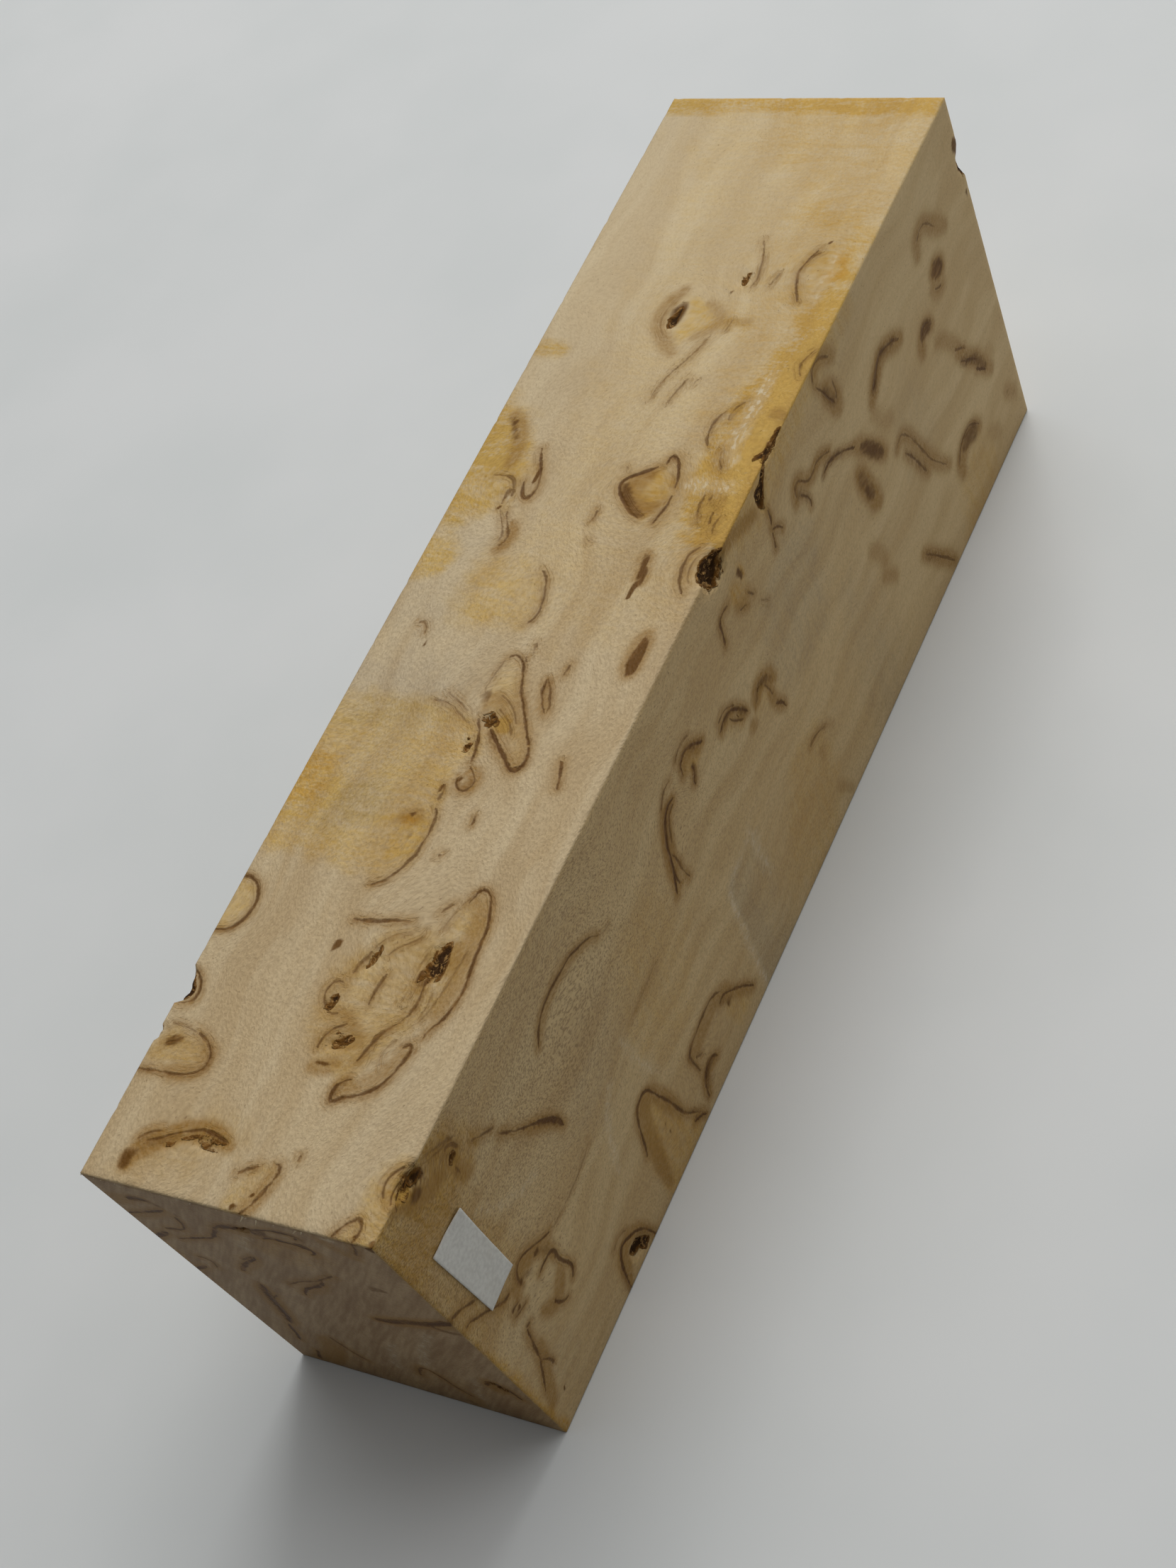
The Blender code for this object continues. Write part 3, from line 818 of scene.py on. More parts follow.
RIGHT_STROKES = rows("""
# kind, amount, half width in mm, places
halo .9 .6 4.2,41.4 5.4,40 7,39 9,38.2
brown .9 .25 5.2,42.9 6.4,42.1 7.4,41.1
halo .8 .4 10.2,39 10.2,37.2 10.4,35.6 11,34.4
brown .4 .2 0.6,26.6 0.2,28.2 -0.2,29.6
brown .38 .2 46.7,26.8 47.2,28.4 47.8,29.9 48.8,31.5 49.8,32 50.8,31.9
halo 1 .8 46,25 46.9,27.6 47.8,30 49,31.8 50.8,32.2
brown .45 .25 55.4,33.4 56.3,32.8 57.2,32
halo 1 .6 53.4,32.4 54.2,33.4 55.6,33.2 57.4,31.8
brown .5 .2 54.9,31.6 54.5,30.6 54.1,29.6
halo .9 .5 60,29.2 61.6,30 63.2,29.2 64.6,26.8
brown .5 .15 60.4,29.8 61.8,30 63,29.4 64,28 64.5,27
halo .8 .5 64.2,25.2 64.9,24.4
brown .5 .25 66.2,26.2 67,27 68,27.2 69,26.6 69.7,25.7
halo 1 .8 66,26 67.4,27.2 69,26.6 70.2,25.2
brown .45 .2 68.9,22.9 69.4,22.2 69.8,21.4
halo .9 .5 68.6,24.8 69,22.8 70,21
halo .9 .7 26.6,1.6 26.9,4.4 27.5,8 28.4,11.4 29.6,13.2 30.8,12 31.6,9 32.4,5.4
halo .8 .6 36.4,8.4 37.4,8.2 40,8.6 42.6,8.9 44.4,8.4 45.4,6.4
halo .9 .6 6.4,18.2 7.4,19.8 9,20.2 10.8,19.4 11.8,17.6 12,15.6
halo .9 .6 7.6,13.8 9,12.2 10.4,12.8 11.6,14.4
brown .4 .2 7.4,19.6 8.4,19.4 9.4,18.6
brown .4 .2 10.4,19.6 11.4,18.6 11.9,17.2
halo .9 .6 2.4,4.6 3.4,7.4 4.4,9.8 5.4,12
halo .9 .6 16.8,1.4 17.4,3.8 18.6,5 20,4.4 21.2,2.4
brown .5 .3 36.6,2.8 37.2,4 38.2,4.7 39.2,4.3
halo .9 .6 36.4,1.8 36.8,3.6 38,4.4 39.4,3.8
brown .5 .3 43.4,7.8 44.2,7 45,6
halo .8 .5 43.4,8.2 45,7 47,4.6 48.4,2.6
brown .4 .3 33.2,2.6 34,1.8 34.8,0.8
brown .5 .3 18.9,28.4 19.8,27.1 20.4,25.9 20.7,24.8
halo .9 .5 17.4,30 19,28 20.4,25.8 20.9,24.2
halo .7 .5 24,34.2 26,35.6 29,36 32,35.4 34.6,33.8
pale .55 .08 50.1,0 50.4,6 51,11.6 51.5,15.2
pale .35 .08 51.6,15.6 54,16.2 57.6,16.6
pale .45 .08 57.5,17.4 57.6,13.6 57.9,9.6
pale .35 .1 31,21.8 31.2,18 31.8,15.4 32.8,13.4
pale .3 .2 22.6,12 24,16 25.4,18.6 27.4,20.4
pale .25 .2 9,31 11,28 13.4,26 15.6,25.2
brown .3 .35 70.6,43.4 72.2,43.2 73.6,42.9 75,42.7
halo .9 .5 70.4,43.2 73,42.8 76,41.6 77.6,41
halo .7 .3 69,36.8 70.2,36 71,35
brown .32 .2 69.8,36 70.9,34.9
halo 1 .35 83.2,35.4 83.8,37 84.8,37.1 86,35.7 87.4,35.4 89,35.6 91,34.5
brown .4 .3 84,36.3 84.9,34.8 85.4,33.6
brown .4 .25 88,33 89,33.6 90.2,33.7 91.6,33.2 93.2,32.2
halo .9 .6 95,30.8 97,28.8 98.6,26.6 99.9,24.6
brown .62 .4 96.2,29.4 97.3,28.2 98.4,26.7 99.4,25.2
halo 1 .9 94.2,28 94.8,25.4 95.6,22.6 96.2,21.4
brown .5 .5 94.3,27.4 94.8,25.2 95.4,23.2
halo .6 .4 91.6,19.2 92.4,18 93.2,16.4 93.4,15
brown .3 .2 92.7,13.7 93.4,13 94,12.2
halo .7 .3 92.4,14 93.6,12.8 94.4,11.6
halo .8 .5 92.6,42.8 94,44 95.6,42.8 97,41.6
brown .45 .4 93.4,40.2 94.2,38.6 94.9,37.2
halo .9 .9 93.6,40.6 94.6,38.4 95,36.2
brown .45 .3 101,31.9 102.4,32.9 104.2,34 106,33.7 107.6,33
halo 1 .7 100.3,31.2 102.4,32.8 104.4,33.9 106.4,33.4 109,31.9
halo .5 .4 100.2,31 100.4,29.4 101.5,27.8 103,26.9
brown .4 .3 103.3,20.9 104.2,19.4 105.2,17.2 106,15.2
halo .8 .5 101.8,22.8 103.4,23.3 104.8,21.8 106,19 107.2,16 109,13.2 110.6,11.4
halo .7 .4 103,21.2 104.4,19 105.4,16.6 106.4,14.6
halo .8 .6 116.4,35.8 117,37.3 118.6,37.9 120,37.1 121.4,35.6 123.4,33.8
brown .7 .5 118.4,31.9 119.4,31.6 120.3,31.2
halo 1 .9 118,32 119.6,31.6 120.4,30.6
halo .7 .4 117.2,30.7 118.4,29.6 119.8,29.2
brown .6 .45 112.8,28.2 113.8,28.5 114.9,28
halo .9 .5 112,26.4 112.4,28 113.8,28.6 115.4,27.6
halo .7 .4 115,25.2 116.5,24.2 117.8,22.4 119.2,20.6
brown .5 .3 118.8,18.8 120.2,17.5 121.6,16.4 122.6,14.6 123.2,13.3
halo .9 .6 118.4,20.4 120.2,18 122,15.8 123.6,13 124.4,12
halo .4 .4 123.8,14.8 125.4,13.4
brown .5 .7 114,10.2 115.4,10.2 116.8,9.8 118,9.2
halo .9 .9 112.6,7.6 113,9.4 115,10.4 117,9.9 118.6,9
brown .35 .3 126.1,6.7 127,5.6 127.7,4.7
halo .6 .5 125.8,7 127,5.6 128,4.4
halo .45 .5 120.3,6.2 121.4,5 122.4,3.9
brown .42 .35 100.9,7.6 102,6.2 103.2,4.6
halo .9 .5 100.2,8.4 102,6.2 104,3.4 105.8,0.8
halo .5 .3 70.4,12.8 71.6,13.1 73,12.7 74.6,11.7 75.4,10.8
halo .5 .3 72.2,4.2 73.2,2.8 74.4,1
halo .5 .3 72,10.8 72.1,9.4
halo .5 .4 27.2,11 28.2,13 29.6,13.6 30.6,12
halo .8 .5 17,2 17.6,4.2 18.6,4.8 20,3.6 21.2,1.4
""")
RIGHT_AREAS = rows("""
# kind, amount, width of the soft border in mm, outline
amber 1.6 .8 3.8,43.6 4.8,43.4 6.2,42.2 5.6,41.3 4.2,41.6
yellow .55 1.2 26.4,-1 26.4,7 27.4,11.5 28.6,13.6 30,13.4 31.4,8.5 32,5 33.6,2.4 34,-1
amber .6 .9 53.4,31.9 53.7,33.1 55,33.4 56.6,32.2 57.2,31.4 55,31.2
amber .3 1.2 60,29.4 61.8,29.9 63.2,29 64.4,26.8 62,27.5
yellow .45 1.4 44,3 44.2,7.5 46,6.6 48,3.2 47,2
amber .2 3 16.2,5 19,5 21.6,1.4 21.6,-1 16.2,-1
amber .25 2 66,25.4 67.3,27 69.4,26 70,24 68,23.6
yellow .25 5 36,12 42,16 45,24 40,30 34,26 32,18
slate 1.9 .6 50.6,-1 50.7,4 51.2,9 51.8,15.2 52.8,15 53.4,12 53.9,6 53.6,-1
slate .7 2.5 51.6,15 55,15.6 57.4,15 57.4,6 56.8,-1 52,-1
pale .3 1 57,11 57.2,16 58.2,16 58,11
slate .5 4 83,-1 82.5,10 84,20.5 88,20 90,10 90,-1
slate .7 3 71,22 72,32 76,34 82,35 84,30 81,21.5
slate .4 4 103,18 104,26.5 108,27 110,21 108,17.5
slate .3 5 20,22 26,30 34,30 30,22 24,18
amber .75 3 -1,44 -1,31 3,33 8,34 11,35 13,37 12,40.5 9,44
slate .5 4 -1,44 -1,20 4,20 9,23 10,33 13,37 12,41 9,44
amber .45 3 -1,36 -1,19 4,20 9,22 9,35
amber .9 .9 -1,-1 -1,44 1.2,44 0.9,38 0.8,26 1.5,17 1.7,8 1.9,-1
amber .5 2.5 76,40 80,40 86,41 100,42.6 100,44.6 70,44.6 70,42
slate .35 4 1,16 3,19 8,18 8,6 3,5
amber .35 3 110,2 113,7.6 118,7.4 120,2 119,-1 110,-1
amber .3 3 60,4 66,14 70,16 74,12 72,3 66,-1
""")
RIGHT_BARK = rows("""
# outline
4.9,43.3 6.2,42.7 7.4,41.8 7.9,40.8 7,41 6,41.6 5.3,42.4
10.1,38.5 10.6,38.7 11.1,38.2 10.8,37.6 10.2,37.7
18.2,2.6 18.9,3.3 20,3.2 20.9,2 21.2,0.8 20.4,0.5 19.7,0.9 19.6,1.8 19,1.6 18.6,2.3
66.7,45 67,43 67.5,42.2 68.3,41.9 69.3,42.3 69.9,43.2 70.5,45
77.8,42.8 79.2,42.9 80.7,44 80.8,43 80,42.2 79.4,41.2 79,40.1 78.4,40.2 78.5,41.4 78,42.3
81,44.9 82.5,44.2 84.6,44 85.3,44.9
130.5,34.6 129.5,35.4 129.2,37 129.4,38.4 130.6,39
""")
stain("right", RIGHT_SPOTS, RIGHT_STROKES, RIGHT_AREAS, RIGHT_BARK, coarse_from=80, coarse_edge=0.75)

# %% [markdown]
# The near end
#
# The end is sawn across the grain and lies in shade. Its lines are few, broad and soft, so each of them gets
# a brown stroke under it. Light and dark streaks rise across the end from left to right.

# %% Marks of the near end
NEAR_LINES = rows("""
# half width in mm, darkness, places
.09 .75 0.2,33.8 1.5,34.6 3,35.4 4.5,36.2 5.8,37 7,37.8
.13 .8 3.4,38.3 4.2,38.9 5.2,39.1 6,39.2
.2 .85 0.4,28.8 1.3,29.6 2.4,30.5 3.2,31.2
.09 .8 3.9,30.1 5.2,31 6.5,31.7 7.8,32.4 9.2,33.2 10,34 10.8,35.2 11.6,36.4 12.6,37.4 13.8,38 15,38.4 \
16.5,38.7 18,39.4 19.4,40 21,40.2 22,40.1 21.4,39.2
.17 .9 12.2,36.9 13,37.5 14.4,38 16.3,38.4
.08 .7 7.4,36.8 7.3,35.2 6.8,34 6,33.2 5,32.9 3.5,32.3
.12 .85 17,37.1 18,37.7 19.4,37.9 20.8,37.9 22,37.6 22.2,37 21.5,36.2
.12 .8 8,25.2 8.6,26.3 9.3,27.2 10.2,28.3 11.3,29.4 12,30 12.5,30.8
.06 .6 10.1,28.9 11,29.8 12.3,30.8
.12 .8 13.6,23 14.2,24.2 15,25.3 16.2,26.3 17.2,27.1 18.2,28.2 18.7,29.3
.07 .65 12.8,24.9 14,26 15.2,27 16.6,27.9 18,28.8 19.6,30.2 21.2,31.6
.12 .85 8.4,22.6 8.2,21.5 7.6,20 7.2,18.5 6.9,17 6.6,15.2 6.3,13.8 5.8,12.5 5.5,11.4
.08 .65 9,20.5 8.2,19.5 7.5,18.7
.12 .8 4.9,11 4.5,9.5 4.2,8 3.5,6
.17 .9 27,24.4 28,25.2 29,25.8 30,26.4 30.9,27
.08 .6 20.3,21.6 21.8,21.9 23,22.5 24.2,23.2 25.6,24.2
.13 .8 0.2,21.2 1,22 2,22.8 2.8,23.5
.08 .6 3.2,26 3.9,26.1 4.6,25.8 4.7,25 4.2,23.8
.12 .65 17.3,5.8 17.8,7.2 18.6,8.6 19.2,8.9 19.9,8.2 20.4,7 21,5 22,3.4
.17 .75 26,9.3 26.6,10.4 27.4,10.9 28.3,10.2 28.8,8.8 29,7.6
.1 .5 9.3,10.5 9.8,8.5 10.4,6.8 11.2,5.4
.13 .7 4.4,3.9 3.8,2.6 3,0.8
.09 .6 28.8,43.2 28.5,41.4 28,40.2 27.5,39.3
""")
NEAR_WIDER = 1.55
NEAR_DARKER = 1.25
NEAR_GLOW = 0.9
NEAR_BROWN = 0.42
NEAR_BROWN_HALF = 0.12
NEAR_BROWN_EDGE = 0.4
for half, tone, points in NEAR_LINES:
    line("near", NEAR_WIDER * half, min(1, NEAR_DARKER * tone), points, halo=NEAR_GLOW)
    stroke("near", "brown", NEAR_BROWN * tone, NEAR_BROWN_HALF, points, NEAR_BROWN_EDGE)

NEAR_SPOTS = rows("""
# kind, amount, middle along and across, length and width in mm, turn in degrees, softness
brown 1.1 21.5 37.9 1.8 .9 -10
brown 1.1 29.4 26.1 2.8 1 36
brown .6 17.2 38.2 3.4 1.2 12
brown .5 8.1 37.2 1.6 1 -50
brown .6 1.6 29.8 2.6 1 40
brown .55 9.6 27.6 3 .9 50
brown .5 16.9 26.9 3.4 1 44
brown .45 20.8 1.2 2.2 1.6 0
brown .6 27.6 9.6 3 1.7 -45
brown .6 14.6 38 4 .9 14
brown .5 4.8 38.9 2.4 .9 12
brown .5 8.4 22.5 .9 1.6 0
brown .5 2.3 23.1 1.4 .8 40
brown .7 30.4 42 1.5 1.2 0
pale .6 4.5 41.6 1.6 .5 10
pale .6 11.5 41.8 2.2 .5 0
pale .5 26 41.6 1.8 .5 0
""")
NEAR_STROKES = rows("""
# kind, amount, half width in mm, places
brown .55 .35 8.3,22.3 7.6,20 7,17.5 6.5,15 5.6,11.8
halo 1 .9 8.4,22.6 7.6,20 7,17.2 6.3,14 5.3,11
brown .7 .2 20.3,21.6 21.6,21.9 23,22.6 24.4,23.4 26,24 27.6,24.9 29.2,26 30.9,26.9
brown .5 .15 26.6,24.2 28.2,23.9 29.8,24 30.9,24.6
halo .9 .7 20,21.4 23,22.6 26,24 29,25.6 31,26.6
brown .5 .3 3.4,38.3 4.6,39 6,39.2 7,38.4
brown .5 .25 12.4,37 14,38 16,38.6 18.4,38.9
brown .45 .25 19.4,40 21,40.3 22.2,40 22.4,38.9
brown .5 .3 24.4,30.6 25.4,31.2 26.4,31
brown .4 .2 10.4,33.8 11,35 11.8,36.4
halo .8 .8 0.4,36.8 2,37.8 3.6,38.4
halo .8 .5 13,36.8 15,37.6 17.4,37.4 20,37 21.6,37.2
halo .8 .5 1,34 3,35 5,36.2 6.6,37.6
halo .7 .4 9.6,27 11,28.6 12.2,29.8
halo .7 .4 15,24.6 16.6,26 18,27.4
brown .25 .7 5.6,2.4 7,4.4 8,6.6 8.6,9.4
halo .9 1 4.6,1 6,3.4 7.4,6 8.4,9.6
halo .7 .6 21.4,5 21.8,3 21,1
halo .8 .7 26.6,8 27.6,9.6 28.8,8.4
halo .7 .6 26.8,23.8 28.4,25 30.4,26
halo .7 .5 24.6,41.4 26,39.6 27.6,38.4
pale .35 .1 19.6,9.6 20.8,12.4 22.2,15.4 23.8,18.4 25.6,21.2
pale .3 .1 15,6.6 16,9.4 17.2,12 18.4,14.4
pale .3 .1 12.4,32.6 13.6,34.6 15,36.4
pale .25 .1 22.6,3.6 24,7 25.2,10.4
""")
NEAR_AREAS = rows("""
amber .55 1.2 -1,14 -1,33 1.2,31 1.4,22 0.8,15
amber .25 4 -1,-1 -1,9 8,10 14,6 20,9 26,9 31,10 32,-1
amber .4 2.5 13,35 18,38 23,38 23,34 17,32
""")
NEAR_BARK = rows("""
14.6,38.1 15.6,38.6 16.6,38.5 15.8,38
26.8,10.3 27.4,10.4 28.2,9.4 28.3,8.8 27.6,8.9 27,9.6
""")
stain("near", NEAR_SPOTS, NEAR_STROKES, NEAR_AREAS, NEAR_BARK)
print("near end:", len(NEAR_LINES), "lines")

# %% [markdown]
# The hidden sides
#
# The left side, the far end and the underside aren't in the photograph. They get the same kinds of mark in
# about the same number: arcs and loops stretched along the grain, each with a soft halo, and brown spindles.
# Their places are random, because there is nothing to measure, and seeded, so that they stay the same.

# %% Marks of the hidden sides
HIDDEN = {
    # side: seed, size in mm, lines, spindles
    "left": (11, (130, 43), 44, 30),
    "far": (12, (31, 43), 16, 8),
    "bottom": (13, (130, 31), 34, 24),
}
HIDDEN_BARK = {"left": [(33, 15, 3.0, 1.3, 35), (61, 27.5, 2.4, 1.2, -40), (88.5, 11, 3.2, 1.4, 15),
                        (112, 30, 2.2, 1.1, -60)],
               "far": [(9, 31, 2.6, 1.1, 50), (21.5, 14.5, 2.8, 1.2, -35)]}


def loop_points(draw, centre):
    """Part of an oval round the centre, longer along the grain, whose radius drifts as it turns."""
    turn = np.linspace(0, draw.uniform(1.4, 5.6), 12) + draw.uniform(0, 2 * np.pi)
    radius = draw.uniform(1.0, 3.2) * (1 + 0.18 * np.sin(2.3 * turn + draw.uniform(0, 6)))
    long, short = draw.uniform(1.2, 2.4), draw.uniform(0.6, 1.0)
    return centre + np.stack([long * radius * np.cos(turn), short * radius * np.sin(turn)], 1)


for side, (seed, size, number, spindles) in HIDDEN.items():
    draw = np.random.default_rng(seed)
    for k in range(number):
        centre = draw.uniform((0, 0), size)
        tone, half = draw.uniform(0.5, 0.9), draw.uniform(0.08, 0.16)
        loop = loop_points(draw, centre)
        line(side, half, tone, loop)
        stroke(side, "halo", tone, 0.5, loop)
        if k % 3 == 0:
            start = k % 5
            stroke(side, "brown", 0.6 * tone, 0.4, loop[start:start + 5])
            area(side, "amber", 0.4, 1.2, loop)
    for k in range(spindles):
        along, across = draw.uniform((0, 0), size)
        shape = draw.uniform(1.2, 4.5), draw.uniform(0.4, 0.9), draw.uniform(-18, 18)
        spot(side, "brown", draw.uniform(0.5, 0.85), along, across, *shape)
    for k in range(6):
        along, across = draw.uniform((0, 0), size)
        kind = ("amber", "yellow", "slate")[k % 3]
        amount, length, width = draw.uniform(0.3, 0.6), draw.uniform(6, 16), draw.uniform(4, 9)
        spot(side, kind, amount, along, across, length, width, edge=1.0)
    for along, across, length, width, turn in HIDDEN_BARK.get(side, []):
        angle = np.linspace(0, 2 * np.pi, 9)[:-1]
        oval = np.stack([length / 2 * np.cos(angle), width / 2 * np.sin(angle)], 1)
        oval *= 1 + 0.15 * np.sin(3 * angle + seed)[:, None]
        c, s = math.cos(math.radians(turn)), math.sin(math.radians(turn))
        bark(side, oval @ np.array([[c, s], [-s, c]]) + (along, across))
    print(side, "side:", number, "lines,", spindles, "spindles")

# %% [markdown]
# Pits and broken edges
#
# Where a pocket's bark has fallen out there is a pit, and along an edge there is a chip. They are real
# hollows in the mesh, at the places of the CAD's own hollows. A point that lies inside a ragged ball slides
# inwards until it reaches the ball's far skin.

# %% Hollows
PITS = {
    # side: along, across, mouth length, mouth width, depth, turn in degrees
    "top": [(25.3, 24.0, 3.6, 1.5, 0.9, -10), (24.4, 18.0, 1.9, 0.9, 0.5, 5),
            (19.5, 16.1, 1.5, 1.0, 0.5, -30), (16.3, 18.9, 2.3, 0.8, 0.6, 82),
            (4.2, 8.1, 1.6, 0.6, 0.4, 58), (4.8, 11.8, 2.6, 0.7, 0.5, 96),
            (49.4, 17.1, 2.0, 0.9, 0.6, -48), (46.6, 16.3, 2.0, 0.9, 0.5, -8),
            (98.8, 14.3, 2.8, 1.2, 0.8, -4), (104.6, 20.0, 2.3, 0.9, 0.5, -8)],
    "right": [(10.5, 38.1, 1.3, 1.1, 0.5, 0), (19.6, 2.6, 3.0, 1.8, 0.9, -38),
              (63.5, 28.3, 2.0, 0.5, 0.4, -52), (67.8, 26.9, 1.6, 0.6, 0.4, -18),
              (78.7, 41.6, 2.8, 1.3, 0.7, 82)],
    "left": [(33, 15, 3.0, 1.3, 0.7, 35), (61, 27.5, 2.4, 1.2, 0.6, -40), (88.5, 11, 3.2, 1.4, 0.8, 15),
             (112, 30, 2.2, 1.1, 0.6, -60)],
    "far": [(9, 31, 2.6, 1.1, 0.6, 50), (21.5, 14.5, 2.8, 1.2, 0.7, -35)],
    "near": [(15.6, 38.2, 2.2, 0.9, 0.5, 20), (27.4, 9.6, 2.6, 1.4, 0.5, -50)],
}
CHIPS = [
    # the two sides that meet there, place along the edge, half size along x, y and z, share of dark bark
    ("left", "top", 17.2, (0.95, 1.75, 1.5), 0.6), ("left", "top", 12.6, (0.45, 0.85, 0.6), 0.3),
    ("right", "top", 5.9, (0.9, 1.9, 1.5), 0.05), ("right", "top", 68.6, (1.3, 2.3, 2.4), 0.4),
    ("right", "top", 83.0, (0.7, 2.3, 0.6), 0.5), ("right", "far", 36.9, (0.8, 1.1, 1.9), 0.7),
]
MIDDLE_OUT = 0.17
RAGGED = 0.16
CRUMBLY = 0.15

ragged = waves(grid, size=1.1, seed=21)
crumbs = waves(grid, size=0.7, seed=22)
sunk = np.zeros_like(grid)


def hollow(middle, axes, inward, dark=0.8):
    """Slides points inside a ragged ball to its far skin. With q the place in the ball's own axes and d the
    inward direction there, t is the larger root of |q + t d| = R. Dark is how much bark the hollow holds."""
    radius = 1 + RAGGED * ragged
    q = (grid - middle) @ axes.T
    d = axes @ inward
    dd, qd, qq = d @ d, q @ d, (q * q).sum(1)
    inside = qq < radius ** 2
    travel = (-qd + np.sqrt(np.maximum(0, qd ** 2 - dd * (qq - radius ** 2)))) / dd
    travel = np.where(inside, travel * (1 - CRUMBLY + CRUMBLY * crumbs), 0)
    deeper = travel > np.linalg.norm(sunk, axis=1)
    sunk[deeper] = travel[deeper, None] * inward
    depth = (radius - np.sqrt(qq)) * np.where(inside, dark, 1.0)
    depth = depth / np.linalg.norm(axes, axis=1)[:2].max()
    near_by = np.abs(depth) < REACH
    lift(bark_depth, near_by, depth[near_by])


for side, pits in PITS.items():
    normal = NORMALS[side]
    level = grid[owned[side][0]] @ normal
    first, second = np.eye(3)[list(FACE_AXES[side])]
    for along, across, length, width, depth, turn in pits:
        long_way = first * math.cos(math.radians(turn)) + second * math.sin(math.radians(turn))
        long_way = long_way - normal * (long_way @ normal)
        axes = np.array([long_way / (length / 2), np.cross(normal, long_way) / (width / 2), normal / depth])
        middle = first * along + second * across
        middle = middle + normal * (level - middle @ normal + MIDDLE_OUT * depth)
        hollow(middle, axes, -normal)

for side, other, place, half_sizes, dark in CHIPS:
    edge = grid[ON_SIDE[side] & ON_SIDE[other]]
    run = 1 if other == "top" else 2
    middle = edge[np.abs(edge[:, run] - place).argmin()]
    inward = -(NORMALS[side] + NORMALS[other]) / math.sqrt(2)
    hollow(middle, np.diag(1 / np.array(half_sizes)), inward, dark)

print("deepest hollow, mm:", round(float(np.linalg.norm(sunk, axis=1).max()), 2))

# %% [markdown]
# Sunken bark and worn edges
#
# Bark is softer than wood, so it lies a little lower all over its pockets. The saw's sharp edges are broken
# by hand sanding: every edge point moves inwards as far as a small round would take it, and more in places.

# %% Shallow bark, and the sawn edges
SHALLOW = 0.28
BARK_SLOPE = 0.4
SUNK_CRUMBS = 0.5
EDGE_RADIUS = 0.24
LEAST_WORN = 0.9
MORE_WORN = 1.6
RADIUS_LIMITS = (0.05, 0.4)
CUT_IN = 1 - math.sqrt(0.5)
NOT_HOLLOW = 0.1

outward = np.stack([NORMALS[side] for side in FACES])[[FACES.index(side) for side in owner]]
shallow = SHALLOW * np.clip(bark_depth / BARK_SLOPE, 0, 1) * (1 + SUNK_CRUMBS * crumbs)
plain = np.linalg.norm(sunk, axis=1) < shallow
sunk[plain] = -outward[plain] * shallow[plain, None]

meeting = sum(ON_SIDE[side][:, None] * NORMALS[side] for side in FACES)
on_edge = sum(ON_SIDE[side].astype(int) for side in FACES) > 1
worn = np.maximum(0, waves(grid, size=1.5, seed=32) - 0.6)
radius = EDGE_RADIUS * (LEAST_WORN + MORE_WORN * worn)
rounding = -meeting * (CUT_IN * np.clip(radius, *RADIUS_LIMITS))[:, None]
untouched = on_edge & (np.linalg.norm(sunk, axis=1) < NOT_HOLLOW)
sunk[untouched] = rounding[untouched]
print("sunken bark:", plain.sum(), "points, worn edges:", untouched.sum(), "points")

# %% [markdown]
# Splinters
#
# The saw tore a few pale fibres out of the upper edge of the near end. Each is a closed four-sided sliver,
# wide at its foot inside the wood and nearly a point at its tip. None reaches past the block's own box.

# %% Splinters
SPLINTERS = [
    # place along the edge, length in mm, lean to the left
    (0.8, 0.4, 1.3), (1.9, 0.3, 0.9), (3.1, 0.45, 1.4), (4.4, 0.25, 0.5), (6.4, 0.2, 0.6), (9.2, 0.25, 0.9),
    (12.6, 0.3, 0.6), (15.1, 0.25, 0.4), (17.9, 0.7, 0.5), (18.3, 0.45, 1.1), (19.0, 0.6, 0.2),
    (21.2, 0.3, 0.7), (23.1, 0.7, 0.9), (23.5, 0.4, 0.3), (26.4, 0.25, 0.7), (28.0, 0.2, 0.6),
]
FOOT = 0.16
TIP = 0.03
DOWN_AND_OUT = 0.75
INSIDE_EDGE = (0, 0.12, -0.2)


def splinter(along, length, lean):
    """Eight corners: a square ring at the foot, just inside the edge, and a small one at the tip."""
    edge = grid[ON_SIDE["near"] & ON_SIDE["top"]]
    foot = edge[np.abs(edge[:, 0] - along).argmin()] + INSIDE_EDGE
    way = np.array([-lean, -DOWN_AND_OUT, -DOWN_AND_OUT])
    ring = np.array([(-1, 0, -1), (1, 0, -1), (1, 0, 1), (-1, 0, 1)]) / 2
    return np.concatenate([foot + FOOT * ring, foot + length * way / np.linalg.norm(way) + TIP * ring])


WALLS = [(k, (k + 1) % 4, (k + 1) % 4 + 4, k + 4) for k in range(4)]
SLIVER_FACES = np.array([(3, 2, 1, 0), (4, 5, 6, 7), *WALLS])
slivers = np.concatenate([splinter(*row) for row in SPLINTERS])
slivers[:, 1] = np.maximum(slivers[:, 1], grid[:, 1].min())
faces = np.concatenate([side_cells[side] for side in FACES]
                       + [SLIVER_FACES + count + 8 * k for k in range(len(SPLINTERS))])
birch = mesh_object("birch", np.concatenate([wood + sunk * MM, slivers * MM + grid_zero]), faces)
print("birch:", len(birch.data.vertices), "points, of them", len(slivers), "in splinters")

# %% [markdown]
# Grain that flows round the figure
#
# The streaks and fibres of the wood are noise that is stretched along the block. Their coordinates are the
# measuring grid, bent: low waves make them wander, and near each loop they are pushed aside, so that they
# flow round it as fibres do round a knot.

